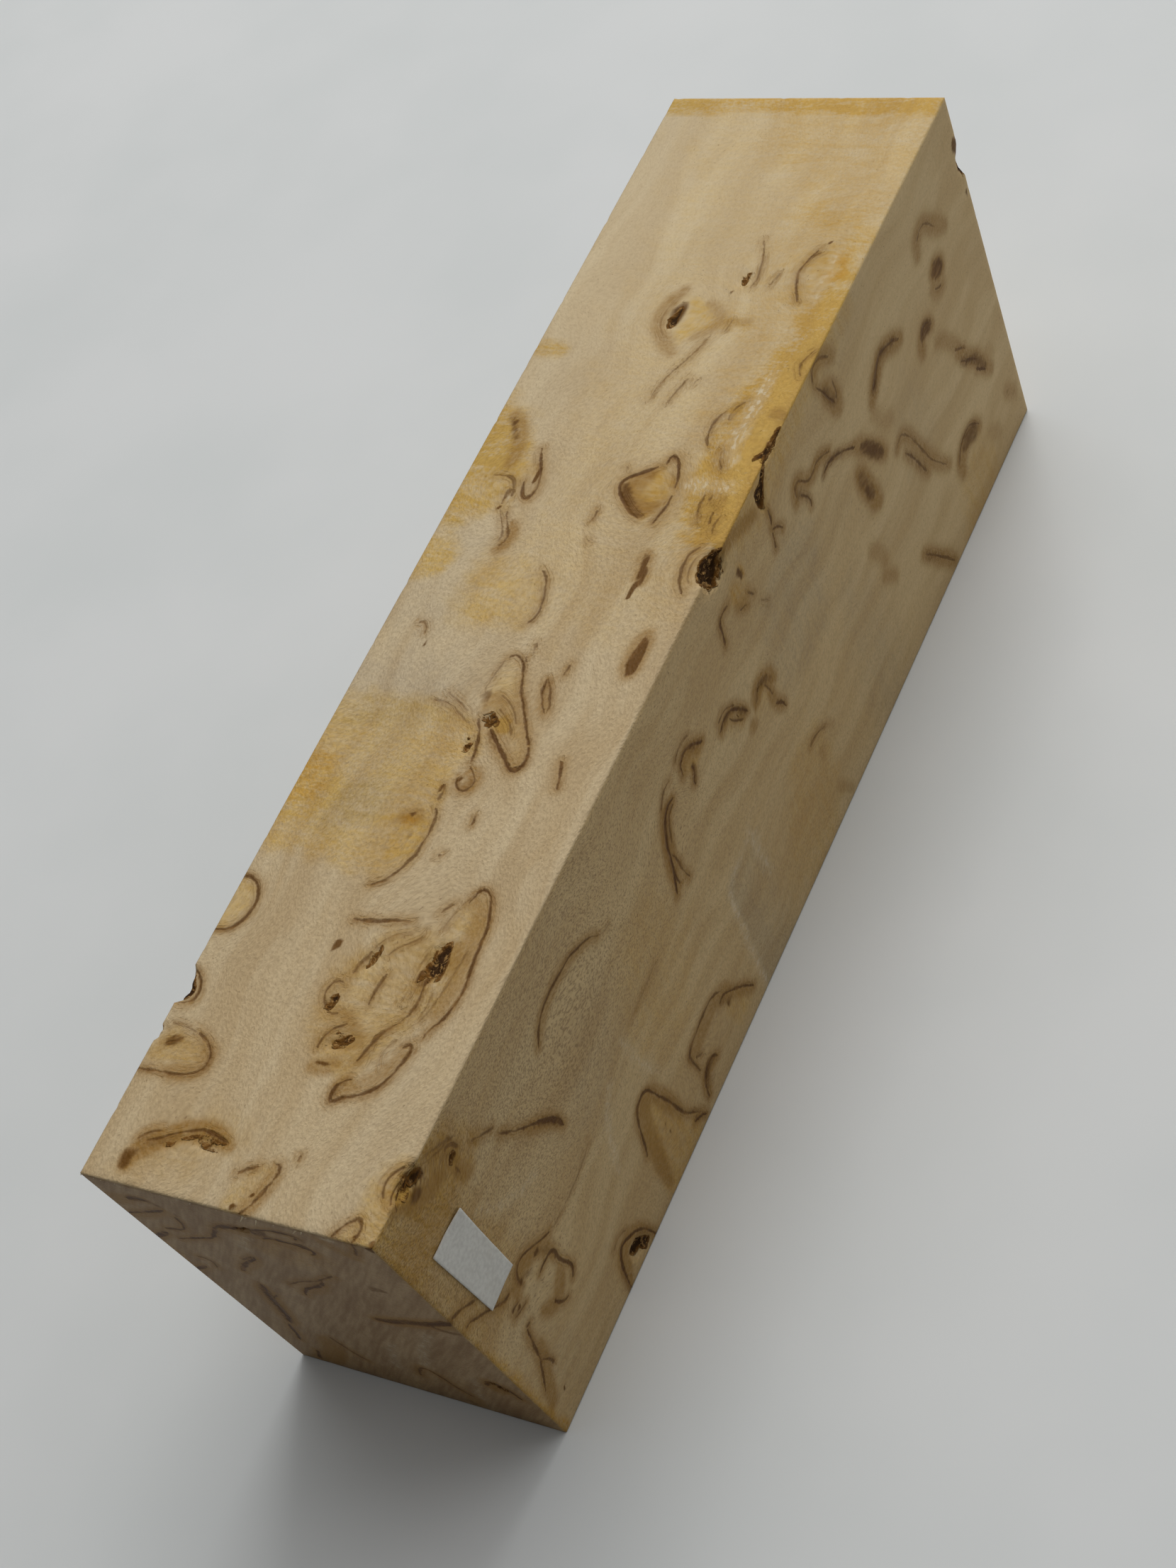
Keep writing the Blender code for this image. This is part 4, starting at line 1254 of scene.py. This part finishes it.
# %% Bent grain
BENDS = {
    # side: along, across, radius, push
    "top": [(14.5, 22.5, 5, 0.5), (25, 21, 8, 0.5), (36, 14, 6, 0.4), (42.2, 17.4, 2.5, 0.5),
            (50, 18.5, 5, 0.5), (63, 13, 5, 0.4), (76, 6, 5, 0.6), (77, 21, 5, 0.6), (98.8, 14.5, 5, 0.6),
            (105, 20, 3, 0.4), (68, 31, 4, 0.5), (83, 30, 5, 0.5), (5, 9, 5, 0.5), (26, 0.5, 4, 0.5),
            (17, 0.5, 3, 0.4), (5.5, 31, 4, 0.5), (105, 27, 5, 0.5)],
    "right": [(6, 41, 5, 0.5), (10.5, 38, 4, 0.4), (10, 16, 7, 0.5), (19, 3, 4, 0.5), (29.5, 8, 6, 0.5),
              (29, 32, 8, 0.5), (49, 29, 5, 0.5), (55, 32, 4, 0.5), (62.5, 28.5, 5, 0.5), (68, 25.5, 4, 0.5),
              (68.5, 44, 4, 0.5), (79, 41, 4, 0.5), (94.5, 25, 6, 0.5), (104, 32, 5, 0.5), (118, 31, 5, 0.4),
              (115, 9, 5, 0.5), (40, 7, 5, 0.5), (84.5, 36, 4, 0.5), (94.5, 40, 5, 0.5)],
}
SWAY = 1.1
SWAY_ON_ENDS = 0.25

grain = grid + sunk
for side, bends in BENDS.items():
    where = owned[side]
    push = np.zeros((len(where), 2))
    for along, across, radius, amount in bends:
        off = spots_on[side] - (along, across)
        push -= amount * off * np.exp(-(off ** 2).sum(1) / radius ** 2)[:, None]
    grain[where[:, None], FACE_AXES[side]] += push
on_end = (owner == "near") | (owner == "far")
sway = np.where(on_end, SWAY_ON_ENDS, SWAY)
grain[:, 0] += sway * waves(grid, size=17.0, seed=41)
grain[:, 2] += sway * waves(grid, size=19.0, seed=42)
print("grain is bent by up to", round(float(np.linalg.norm(grain - grid - sunk, axis=1).max()), 1), "mm")

# %% [markdown]
# Values for the shader
#
# The fields go onto the mesh's points as attributes, packed three to a vector. The last one says what kind of
# surface a point is on: a sawn end, how much it shows dark pores, and whether it is the shaded right side,
# which the finish tints warmer as painted bounced light.

# %% Attributes
PORES_ELSEWHERE = 0.12
PORES_ON_RIGHT = 0.25


def give(thing, name, values, splinters):
    """Stores one number or one vector for each point, as an attribute that the material reads. The splinters
    all have the value given last."""
    splinters = np.broadcast_to(splinters, (len(slivers), *values.shape[1:]))
    values = np.concatenate([values, splinters])
    kind, key = ("FLOAT", "value") if values.ndim == 1 else ("FLOAT_VECTOR", "vector")
    attribute = thing.data.attributes.new(name, kind, "POINT")
    attribute.data.foreach_set(key, np.ascontiguousarray(values, np.float32).ravel())


for channel, name in enumerate(LINE_CHANNELS):
    give(birch, name, lines[channel], (FAR_AWAY, -1, 0))
give(birch, "fill", np.stack([soft["halo"], soft["brown"], soft["amber"]], 1), 0)
give(birch, "tint", np.stack([soft["yellow"], soft["slate"], soft["pale"]], 1), (0, 0, 1))
give(birch, "bark", bark_depth, -REACH)
give(birch, "grain", grain, slivers)
on_right = owner == "right"
near_and_high = np.clip((70 - grid[:, 1]) / 40, 0, 1) * np.clip((grid[:, 2] - 8) / 18, 0, 1)
flecked = np.where(on_right, near_and_high + PORES_ON_RIGHT, PORES_ELSEWHERE)
# The third number marks the shaded right side, which the finish tints warmer as painted bounced light.
give(birch, "kind", np.stack([on_end.astype(float), flecked, on_right.astype(float)], 1), 0)
print("attributes:", [a.name for a in birch.data.attributes if not a.name.startswith(".")])

# %% [markdown]
# Building materials from nodes
#
# A few helpers keep the node trees readable. Each adds one node, joins its inputs and gives back its output.

# %% Node helpers
def srgb(red, green, blue):
    """A colour given as screen values from 0 to 255, as the linear colour that Blender works with."""
    value = np.array([red, green, blue]) / 255
    return (*np.where(value <= 0.04045, value / 12.92, ((value + 0.055) / 1.055) ** 2.4).tolist(), 1.0)


class Finish:
    """A material whose nodes are added one call at a time."""

    def __init__(self, name):
        self.material = bpy.data.materials.new(name)
        self.material.use_nodes = True
        self.tree = self.material.node_tree
        self.shader = self.tree.nodes["Principled BSDF"]

    def node(self, kind, inputs, **settings):
        made = self.tree.nodes.new("ShaderNode" + kind)
        for name, value in settings.items():
            setattr(made, name, value)
        for name, value in inputs.items():
            self.put(made.inputs[name], value)
        return made

    def put(self, socket, value):
        if isinstance(value, bpy.types.NodeSocket):
            self.tree.links.new(value, socket)
        else:
            socket.default_value = value

    def math(self, operation, *values, clamp=False):
        return self.node("Math", dict(enumerate(values)), operation=operation, use_clamp=clamp).outputs[0]

    def mix(self, amount, first, second, blend="MIX"):
        made = self.node("Mix", {}, data_type="RGBA", blend_type=blend)
        for place, value in ((0, amount), (6, first), (7, second)):
            self.put(made.inputs[place], value)
        return made.outputs[2]

    def attribute(self, name):
        return self.node("Attribute", {}, attribute_name=name).outputs["Vector"]

    def number(self, name):
        return self.node("Attribute", {}, attribute_name=name).outputs["Fac"]

    def parts(self, vector):
        return self.node("SeparateXYZ", {0: vector}).outputs

    def stretch(self, vector, *scale):
        return self.node("VectorMath", {0: vector, 1: scale}, operation="MULTIPLY").outputs[0]

    def noise(self, vector, scale=1.0, detail=2.0, distortion=0.0):
        inputs = {"Vector": vector, "Scale": scale, "Detail": detail, "Distortion": distortion}
        return self.node("TexNoise", inputs).outputs[0]

    def step(self, value, low, high):
        """0 at low, 1 at high and smooth between them. Low may be the larger number, for a fall."""
        inputs = {"Value": value, "From Min": low, "From Max": high}
        return self.node("MapRange", inputs, interpolation_type="SMOOTHSTEP").outputs[0]

    def bump(self, height, strength, distance):
        inputs = {"Strength": strength, "Distance": distance, "Height": height}
        return self.node("Bump", inputs).outputs[0]


print("helpers ready")

# %% [markdown]
# The wood's finish
#
# The finish is built up like the real surface, one layer to a cell: plain wood, its fibre and pores, broad
# stains, the bark lines with their soft fills, and dark crumbly bark in the hollows. Two parts of it are
# painted
# light: the plain wood's grey clouds are partly painted sheen, and the shaded right side gets a warm tint of
# painted bounced light. Painted colours would blur up close, so each layer is noise, which has detail at every
# size. It is read at the bent grain coordinates, so it follows the wood. The first number of a noise says how
# many of its waves fit in a mm, and the second how fine its detail goes. The two numbers of a step say where a
# pattern starts and where it is full.

# %% Plain wood
CREAM = srgb(208, 187, 149)
TAN = srgb(193, 168, 127)
FAR_CREAM = srgb(230, 214, 178)
END_DARK = srgb(144, 113, 77)
END_LIGHT = srgb(182, 154, 116)
SLATE = (0.84, 0.86, 0.93, 1.0)
END_STREAK_TURN = math.radians(58)
PALER_FROM, PALER_TO = 45.0, 120.0


def plain_wood(f, place, on_end, shaded):
    """Cream with tan streaks lengthwise and greyish clouds, which are partly painted sheen: darker patches
    that stand in for the shimmer of the figure. A sawn end has darker streaks that rise to the right instead,
    and the far half of the block is paler."""
    streaks = f.step(f.noise(f.stretch(place, 1.0, 0.07, 1.0), 0.32, 2.0, 0.3), 0.3, 0.7)
    colour = f.mix(streaks, TAN, CREAM)
    # Painted sheen, in part: the grey clouds stand in for the figure's shimmer as well as its tone.
    clouds = f.noise(f.stretch(place, 1.0, 0.4, 1.0), 0.09, 3.0)
    colour = f.mix(f.step(clouds, 0.4, 0.8), colour, f.mix(0.4, colour, SLATE, "MULTIPLY"))
    rising = f.node("Mapping", {"Vector": place, "Rotation": (0, END_STREAK_TURN, 0)}).outputs[0]
    broad = f.noise(f.stretch(rising, 0.2, 1.0, 1.0), 0.4, 3.0)
    narrow = f.noise(f.stretch(rising, 0.1, 1.0, 1.0), 2.2, 3.0)
    across_end = f.math("MULTIPLY_ADD", narrow, 0.55, f.math("MULTIPLY", broad, 0.45))
    colour = f.mix(on_end, colour, f.mix(f.step(across_end, 0.3, 0.7), END_DARK, END_LIGHT))
    far_away = f.step(f.parts(place)[1], PALER_FROM, PALER_TO)
    paler = f.math("MULTIPLY", far_away, f.math("MULTIPLY_ADD", shaded, -0.16, 0.26))
    return f.mix(paler, colour, FAR_CREAM)


birch_look = Finish("birch")
birch_place = birch_look.attribute("grain")
on_end, flecked, shaded = birch_look.parts(birch_look.attribute("kind"))
colour = plain_wood(birch_look, birch_place, on_end, shaded)
print("plain wood:", len(birch_look.tree.nodes), "nodes")

# %% Fibre and pores
PORE = srgb(104, 76, 46)
SMOOTHER_FROM, SMOOTHER_TO = 60.0, 110.0


def fibre_and_pores(f, place, colour, flecked):
    """A fine ripple, long fibres and short dark pores. The ripple and the fibres, which also drive the bump,
    are given back with the colour. They are fainter at the far end."""
    far_away = f.step(f.parts(place)[1], SMOOTHER_FROM, SMOOTHER_TO)
    ripple = f.noise(f.stretch(place, 1.0, 0.6, 1.0), 3.8, 1.5, 0.3)
    ripple = f.mix(far_away, ripple, f.math("MULTIPLY_ADD", ripple, 0.35, 0.34))
    fibre = f.noise(f.stretch(place, 1.0, 0.12, 1.0), 4.2, 3.0, 0.3)
    softer = f.math("MULTIPLY_ADD", far_away, -0.04, 0.07)
    colour = f.mix(f.step(fibre, 0.25, 0.75), f.mix(softer, colour, PORE), colour)
    colour = f.mix(f.step(ripple, 0.36, 0.6), f.mix(0.16, colour, PORE), colour)
    pores = f.noise(f.stretch(place, 1.0, 0.5, 1.0), 7.5, 1.0)
    limit = f.math("MULTIPLY_ADD", flecked, -0.16, 0.7)
    open_pores = f.math("MULTIPLY", f.step(pores, limit, f.math("ADD", limit, 0.1)), 0.42)
    return f.mix(open_pores, colour, PORE), ripple, fibre


colour, ripple, fibre = fibre_and_pores(birch_look, birch_place, colour, flecked)
print("with fibre and pores:", len(birch_look.tree.nodes), "nodes")

# %% Broad stains, and a painted warm tint on the shaded side
AMBER = (0.90, 0.72, 0.29, 1.0)
YELLOW = (1.0, 0.84, 0.42, 1.0)
# Painted light: a warm tint for the shaded right side, standing in for warm light bounced onto it.
PAINTED_WARM_BOUNCE = (1.02, 0.95, 0.80, 1.0)
PALE = srgb(222, 210, 182)


def stained(f, place, colour, shaded, stains, pale):
    """First the shaded right side is tinted warmer: painted warm bounced light. Each stain multiplies the
    colour by its own tint, in brushed patches. Pale torn fibres lie on top as flakes."""
    brushed = f.noise(f.stretch(place, 0.22, 1.0, 0.22), 0.9, 4.0, 0.8)
    speckle = f.noise(f.stretch(place, 0.7, 1.0, 0.7), 3.4, 2.0)
    mottle = f.math("MULTIPLY_ADD", brushed, 2.2, f.math("MULTIPLY_ADD", speckle, 1.6, -1.0))
    # Painted light: the shaded right side is tinted warmer, as if lit by warm bounced light.
    colour = f.mix(shaded, colour, f.mix(1.0, colour, PAINTED_WARM_BOUNCE, "MULTIPLY"))
    for amount, tint in stains:
        patchy = f.math("MULTIPLY", amount, mottle, clamp=True)
        colour = f.mix(patchy, colour, f.mix(1.0, colour, tint, "MULTIPLY"))
    flakes = f.step(f.noise(f.stretch(place, 1.0, 0.6, 1.0), 2.2, 4.0), 0.5, 0.6)
    torn_up = f.math("MULTIPLY", pale, f.math("MULTIPLY_ADD", flakes, 0.6, 0.3), clamp=True)
    return f.mix(torn_up, colour, PALE)


halo, brown, amber = birch_look.parts(birch_look.attribute("fill"))
yellow, slate, pale = birch_look.parts(birch_look.attribute("tint"))
stains = ((slate, SLATE), (yellow, YELLOW), (amber, AMBER))
colour = stained(birch_look, birch_place, colour, shaded, stains, pale)
print("with stains:", len(birch_look.tree.nodes), "nodes")

# %% [markdown]
# Bark lines and bark
#
# A bark line is a thin sheet of bark that the saw cut across, with golden wood beside it. It could be an
# image, but a distance stays sharp from any nearness, and noise added to it makes the line waver and swell.
# Bark in the hollows is treated alike: noise tears the border of its depth.

# %% Bark lines
HALO = srgb(150, 110, 46)
BROWN = srgb(100, 64, 10)
LINE = srgb(90, 55, 8)
LINE_LIGHT = srgb(124, 86, 36)


def bark_lines(f, place):
    """Where a bark line runs: its half width, swollen by noise, is larger than the wavering distance to it.
    The second result is a pattern of fibres beside it: noise whose first coordinate is the distance itself,
    so that its streaks follow the line. The third is a soft border on its positive side, in patches."""
    waver = f.math("MULTIPLY_ADD", f.noise(place, 1.5, 3.0), 0.3, -0.15)
    swell = f.math("MULTIPLY_ADD", f.noise(place, 0.55, 3.0), 0.52, -0.28)
    patches = f.step(f.noise(place, 0.4, 2.0), 0.4, 0.6)
    x, y, z = f.parts(place)
    strongest = fibres = border = 0.0
    for name in LINE_CHANNELS:
        signed, half, tone = f.parts(f.attribute(name))
        gap = f.math("ABSOLUTE", f.math("ADD", signed, waver))
        room = f.math("SUBTRACT", f.math("ADD", half, swell), gap)
        drawn_here = f.math("MULTIPLY", tone, f.step(half, 0.0, 0.05))
        here = f.math("MULTIPLY", f.step(room, -0.16, 0.08), drawn_here)
        by_the_line = {0: f.math("MULTIPLY", gap, 4.5), 1: f.math("ADD", x, y), 2: z}
        flow = f.node("CombineXYZ", by_the_line).outputs[0]
        near_by = f.math("MULTIPLY", f.step(gap, 1.3, 0.2), f.step(half, -1.2, -0.3))
        streak = f.math("MULTIPLY", f.step(f.noise(flow, 0.9, 3.0), 0.5, 0.68), near_by)
        beside = f.math("MULTIPLY", f.step(signed, -0.1, 0.05), f.step(signed, 0.9, 0.05))
        beside = f.math("MULTIPLY", beside, f.math("MULTIPLY", tone, f.step(half, -0.1, 0.05)))
        strongest = f.math("MAXIMUM", strongest, here)
        fibres = f.math("MAXIMUM", fibres, streak)
        border = f.math("MAXIMUM", border, beside)
    return strongest, fibres, f.math("MULTIPLY", border, patches)


def marked(f, place, colour, halo, brown):
    """From the ground up: the golden halo, fibres that flow beside a line, its soft border, the brown fill in
    strands, and the thin dark line. The line and the fibres are given back too, for the bump."""
    thin, flow, border = bark_lines(f, place)
    grit = f.math("MULTIPLY_ADD", f.noise(place, 3.5, 3.0), 1.0, 0.5)
    colour = f.mix(f.math("MULTIPLY", f.math("MULTIPLY", halo, 0.8), grit, clamp=True), colour, HALO)
    colour = f.mix(f.math("MULTIPLY", flow, 0.38), colour, HALO)
    colour = f.mix(f.math("MULTIPLY", f.math("MULTIPLY", border, 0.55), grit, clamp=True), colour, LINE_LIGHT)
    strands = f.noise(f.stretch(place, 1.0, 0.4, 1.0), 1.5, 3.0, 0.4)
    filled = f.step(f.math("MULTIPLY_ADD", strands, 0.4, f.math("SUBTRACT", brown, 0.57)), -0.12, 0.3)
    fill = f.mix(f.step(strands, 0.3, 0.5), LINE_LIGHT, BROWN)
    colour = f.mix(f.math("MULTIPLY", filled, 0.95), colour, fill)
    inked = f.mix(f.step(f.noise(place, 0.7, 3.0), 0.7, 0.5), LINE_LIGHT, LINE)
    darkness = f.math("MULTIPLY", thin, f.math("MULTIPLY_ADD", grit, 0.35, 0.65), clamp=True)
    return f.mix(darkness, colour, inked), thin, flow


colour, thin, flow = marked(birch_look, birch_place, colour, halo, brown)
print("with bark lines:", len(birch_look.tree.nodes), "nodes")

# %% Crumbly bark
BARK = srgb(56, 33, 5)
BARK_RIM = srgb(112, 74, 24)
BARK_CRUMB = srgb(172, 132, 78)


def barked(f, place, colour):
    """Bark shows where its depth, torn by noise, is above zero. It is lighter at the rim and has light
    crumbs. The mask is given back too."""
    torn = f.math("ADD", f.number("bark"), f.math("MULTIPLY_ADD", f.noise(place, 1.9, 3.0), 0.5, -0.31))
    in_bark = f.step(torn, -0.04, 0.06)
    rim = f.mix(f.step(torn, 0.05, 0.3), BARK_RIM, BARK)
    crumbs = f.step(f.noise(place, 3.0, 4.0, 0.8), 0.52, 0.66)
    bark_colour = f.mix(f.math("MULTIPLY", crumbs, 0.75), rim, BARK_CRUMB)
    return f.mix(in_bark, colour, bark_colour), in_bark


colour, in_bark = barked(birch_look, birch_place, colour)
print("with bark:", len(birch_look.tree.nodes), "nodes")

# %% Bump and shine
RIPPLE_HEIGHT = 0.1
FIBRE_HEIGHT = 0.02
LINE_DEPTH = 0.05
FLOW_DEPTH = 0.03
BARK_ROUGHNESS = 0.3


def surface_height(f, place, ripple, fibre, thin, flow, in_bark):
    """Height in mm for the bump: ripple and fibre, less the lines, plus rough bark."""
    height = f.math("MULTIPLY_ADD", ripple, RIPPLE_HEIGHT, f.math("MULTIPLY", fibre, FIBRE_HEIGHT))
    depth = f.math("MULTIPLY_ADD", thin, LINE_DEPTH, f.math("MULTIPLY", flow, FLOW_DEPTH))
    height = f.math("SUBTRACT", height, depth)
    rough_bark = f.math("MULTIPLY", f.noise(place, 2.6, 4.0), in_bark)
    return f.math("MULTIPLY_ADD", rough_bark, BARK_ROUGHNESS, height)


def surface(f, colour, fibre, in_bark, height):
    """Puts the layers on the surface. Bark is rougher than bare wood, and neither of them shines much."""
    f.put(f.shader.inputs["Base Color"], colour)
    rough = f.math("MULTIPLY_ADD", in_bark, 0.25, 0.56)
    f.put(f.shader.inputs["Roughness"], f.math("MULTIPLY_ADD", fibre, 0.1, rough))
    f.shader.inputs["Specular IOR Level"].default_value = 0.18
    f.put(f.shader.inputs["Normal"], f.bump(height, 1.0, MM))


height = surface_height(birch_look, birch_place, ripple, fibre, thin, flow, in_bark)
surface(birch_look, colour, fibre, in_bark, height)
birch.data.materials.append(birch_look.material)
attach(birch, "root")
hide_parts("birch_block")
print("whole wood finish:", len(birch_look.tree.nodes), "nodes")

# %% [markdown]
# The label
#
# A small slip of thin paper, stuck on a little crooked. It is a grid of points on the side's plane, and one
# corner lifts a little. Solidify then gives the sheet its thickness.

# %% Paper label
LABEL_CORNERS = np.array([[(3.96, 21.98), (3.21, 34.02)], [(8.22, 22.24), (7.89, 34.10)]])
LABEL_CELLS = (26, 66)
PAPER = 0.12
GLUE = 0.03
COCKLE = 0.02
LIFT = 0.22
LIFT_REACH = 0.5


def paper_label():
    """Mixes the four corners for the place on the side; the height above the wood is the square of the
    nearness to the lifted corner."""
    u, v = np.meshgrid(*(np.linspace(0, 1, n + 1) for n in LABEL_CELLS), indexing="ij")
    weights = np.stack([(1 - u) * (1 - v), (1 - u) * v, u * (1 - v), u * v], -1)
    flat = weights @ LABEL_CORNERS.reshape(4, 2)
    normal = NORMALS["right"]
    level = grid[owned["right"][0]] @ normal
    places_3d = np.stack([np.zeros_like(u), flat[..., 0], flat[..., 1]], -1)
    places_3d[..., 0] = (level - flat[..., 0] * normal[1] - flat[..., 1] * normal[2]) / normal[0]
    lifted = np.clip(1 - np.hypot((1 - u) * 0.8, 1 - v) / LIFT_REACH, 0, 1) ** 2
    uneven = COCKLE * (1 + waves(places_3d.reshape(-1, 3), size=3.0, seed=51).reshape(u.shape))
    height = GLUE + LIFT * lifted + uneven
    points = (places_3d + height[..., None] * normal) * MM + grid_zero
    index = np.arange(u.size).reshape(u.shape)
    faces = np.stack([index[:-1, :-1], index[1:, :-1], index[1:, 1:], index[:-1, 1:]], -1).reshape(-1, 4)
    thing = mesh_object("label", points.reshape(-1, 3), faces)
    wall = thing.modifiers.new("paper thickness", "SOLIDIFY")
    wall.thickness = PAPER * MM
    wall.offset = 1.0
    wall.use_even_offset = True
    return thing


PAPER_GREY = srgb(203, 200, 192)
PAPER_WHITE = srgb(218, 216, 208)
PAPER_SOILED = srgb(190, 184, 170)
PULP_PER_METRE = 2600.0
SOIL_PER_METRE = 300.0


def paper_finish():
    """White paper with fine pulp and a few soiled clouds."""
    f = Finish("label_paper")
    place = f.node("TexCoord", {}).outputs["Object"]
    pulp = f.noise(place, PULP_PER_METRE, 3.0)
    cloudy = f.noise(place, SOIL_PER_METRE, 2.0)
    colour = f.mix(f.step(pulp, 0.3, 0.7), PAPER_GREY, PAPER_WHITE)
    colour = f.mix(f.math("MULTIPLY", f.step(cloudy, 0.4, 0.8), 0.25), colour, PAPER_SOILED)
    f.put(f.shader.inputs["Base Color"], colour)
    f.shader.inputs["Roughness"].default_value = 0.5
    f.shader.inputs["Specular IOR Level"].default_value = 0.4
    f.put(f.shader.inputs["Normal"], f.bump(pulp, 0.2, 0.03 * MM))
    return f.material


label = paper_label()
label.data.materials.append(paper_finish())
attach(label, "root")
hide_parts("paper_label")
print("label:", len(label.data.vertices), "points")

# %% [markdown]
# The table and the light
#
# The block stands on pale paper. A large soft light comes from high up behind its left side, so its right
# side and its near end lie in shade, with a soft shadow beside them.

# %% Floor
FLOOR_SIZE = 3.0
FLOOR_DARK = (0.675, 0.695, 0.688, 1.0)
FLOOR_LIGHT = (0.715, 0.728, 0.722, 1.0)
CLOUDS_PER_METRE = 26.0


def add_floor():
    """One square at the block's own resting height."""
    half = FLOOR_SIZE / 2
    points = np.array([(-half, -half, 0), (half, -half, 0), (half, half, 0), (-half, half, 0)], float)
    points[:, 2] = cad_low.z
    floor = mesh_object("floor", points, np.array([[0, 1, 2, 3]]), smooth=False)
    f = Finish("pale_paper")
    cloudy = f.noise(f.node("TexCoord", {}).outputs["Object"], CLOUDS_PER_METRE, 3.0)
    tone = f.mix(f.step(cloudy, 0.3, 0.7), FLOOR_DARK, FLOOR_LIGHT)
    f.put(f.shader.inputs["Base Color"], tone)
    f.shader.inputs["Roughness"].default_value = 0.9
    f.shader.inputs["Specular IOR Level"].default_value = 0.1
    floor.data.materials.append(f.material)
    return floor


floor = add_floor()
print(floor.name, "is", FLOOR_SIZE, "m wide and lies at", round(cad_low.z / MM, 2), "mm")

# %% Lights
LIGHTS = {
    # name: place in metres, size in metres, power in watts
    "window": ((-0.15, 1.0, 0.9), 0.8, 8.6),
    "ceiling": ((0.0, 0.15, 1.3), 1.0, 5.4),
    "left fill": ((-0.55, 0.5, 0.9), 0.7, 1.4),
    "right fill": ((0.6, 0.7, 0.8), 0.8, 2.0),
}
AIM = Vector((0, 0, 0.02))
SKY = 0.05


def add_light(name, place, size, power):
    """A square soft light of size metres and power watts, turned to face the block."""
    light = bpy.data.lights.new(name, "AREA")
    light.shape = "SQUARE"
    light.size = size
    light.energy = power
    lamp = bpy.data.objects.new(name, light)
    lamp.location = place
    lamp.rotation_mode = "QUATERNION"
    lamp.rotation_quaternion = (AIM - Vector(place)).to_track_quat("-Z", "Y")
    bpy.context.scene.collection.objects.link(lamp)


def add_sky(strength):
    """A faint even white light from all round."""
    world = bpy.data.worlds.new("room")
    world.use_nodes = True
    background = world.node_tree.nodes["Background"]
    background.inputs["Color"].default_value = (1.0, 1.0, 1.0, 1.0)
    background.inputs["Strength"].default_value = strength
    bpy.context.scene.world = world


for name, (place, size, power) in LIGHTS.items():
    add_light(name, place, size, power)
add_sky(SKY)
scene = bpy.context.scene
scene.view_settings.view_transform = "Standard"
scene.view_settings.look = "None"
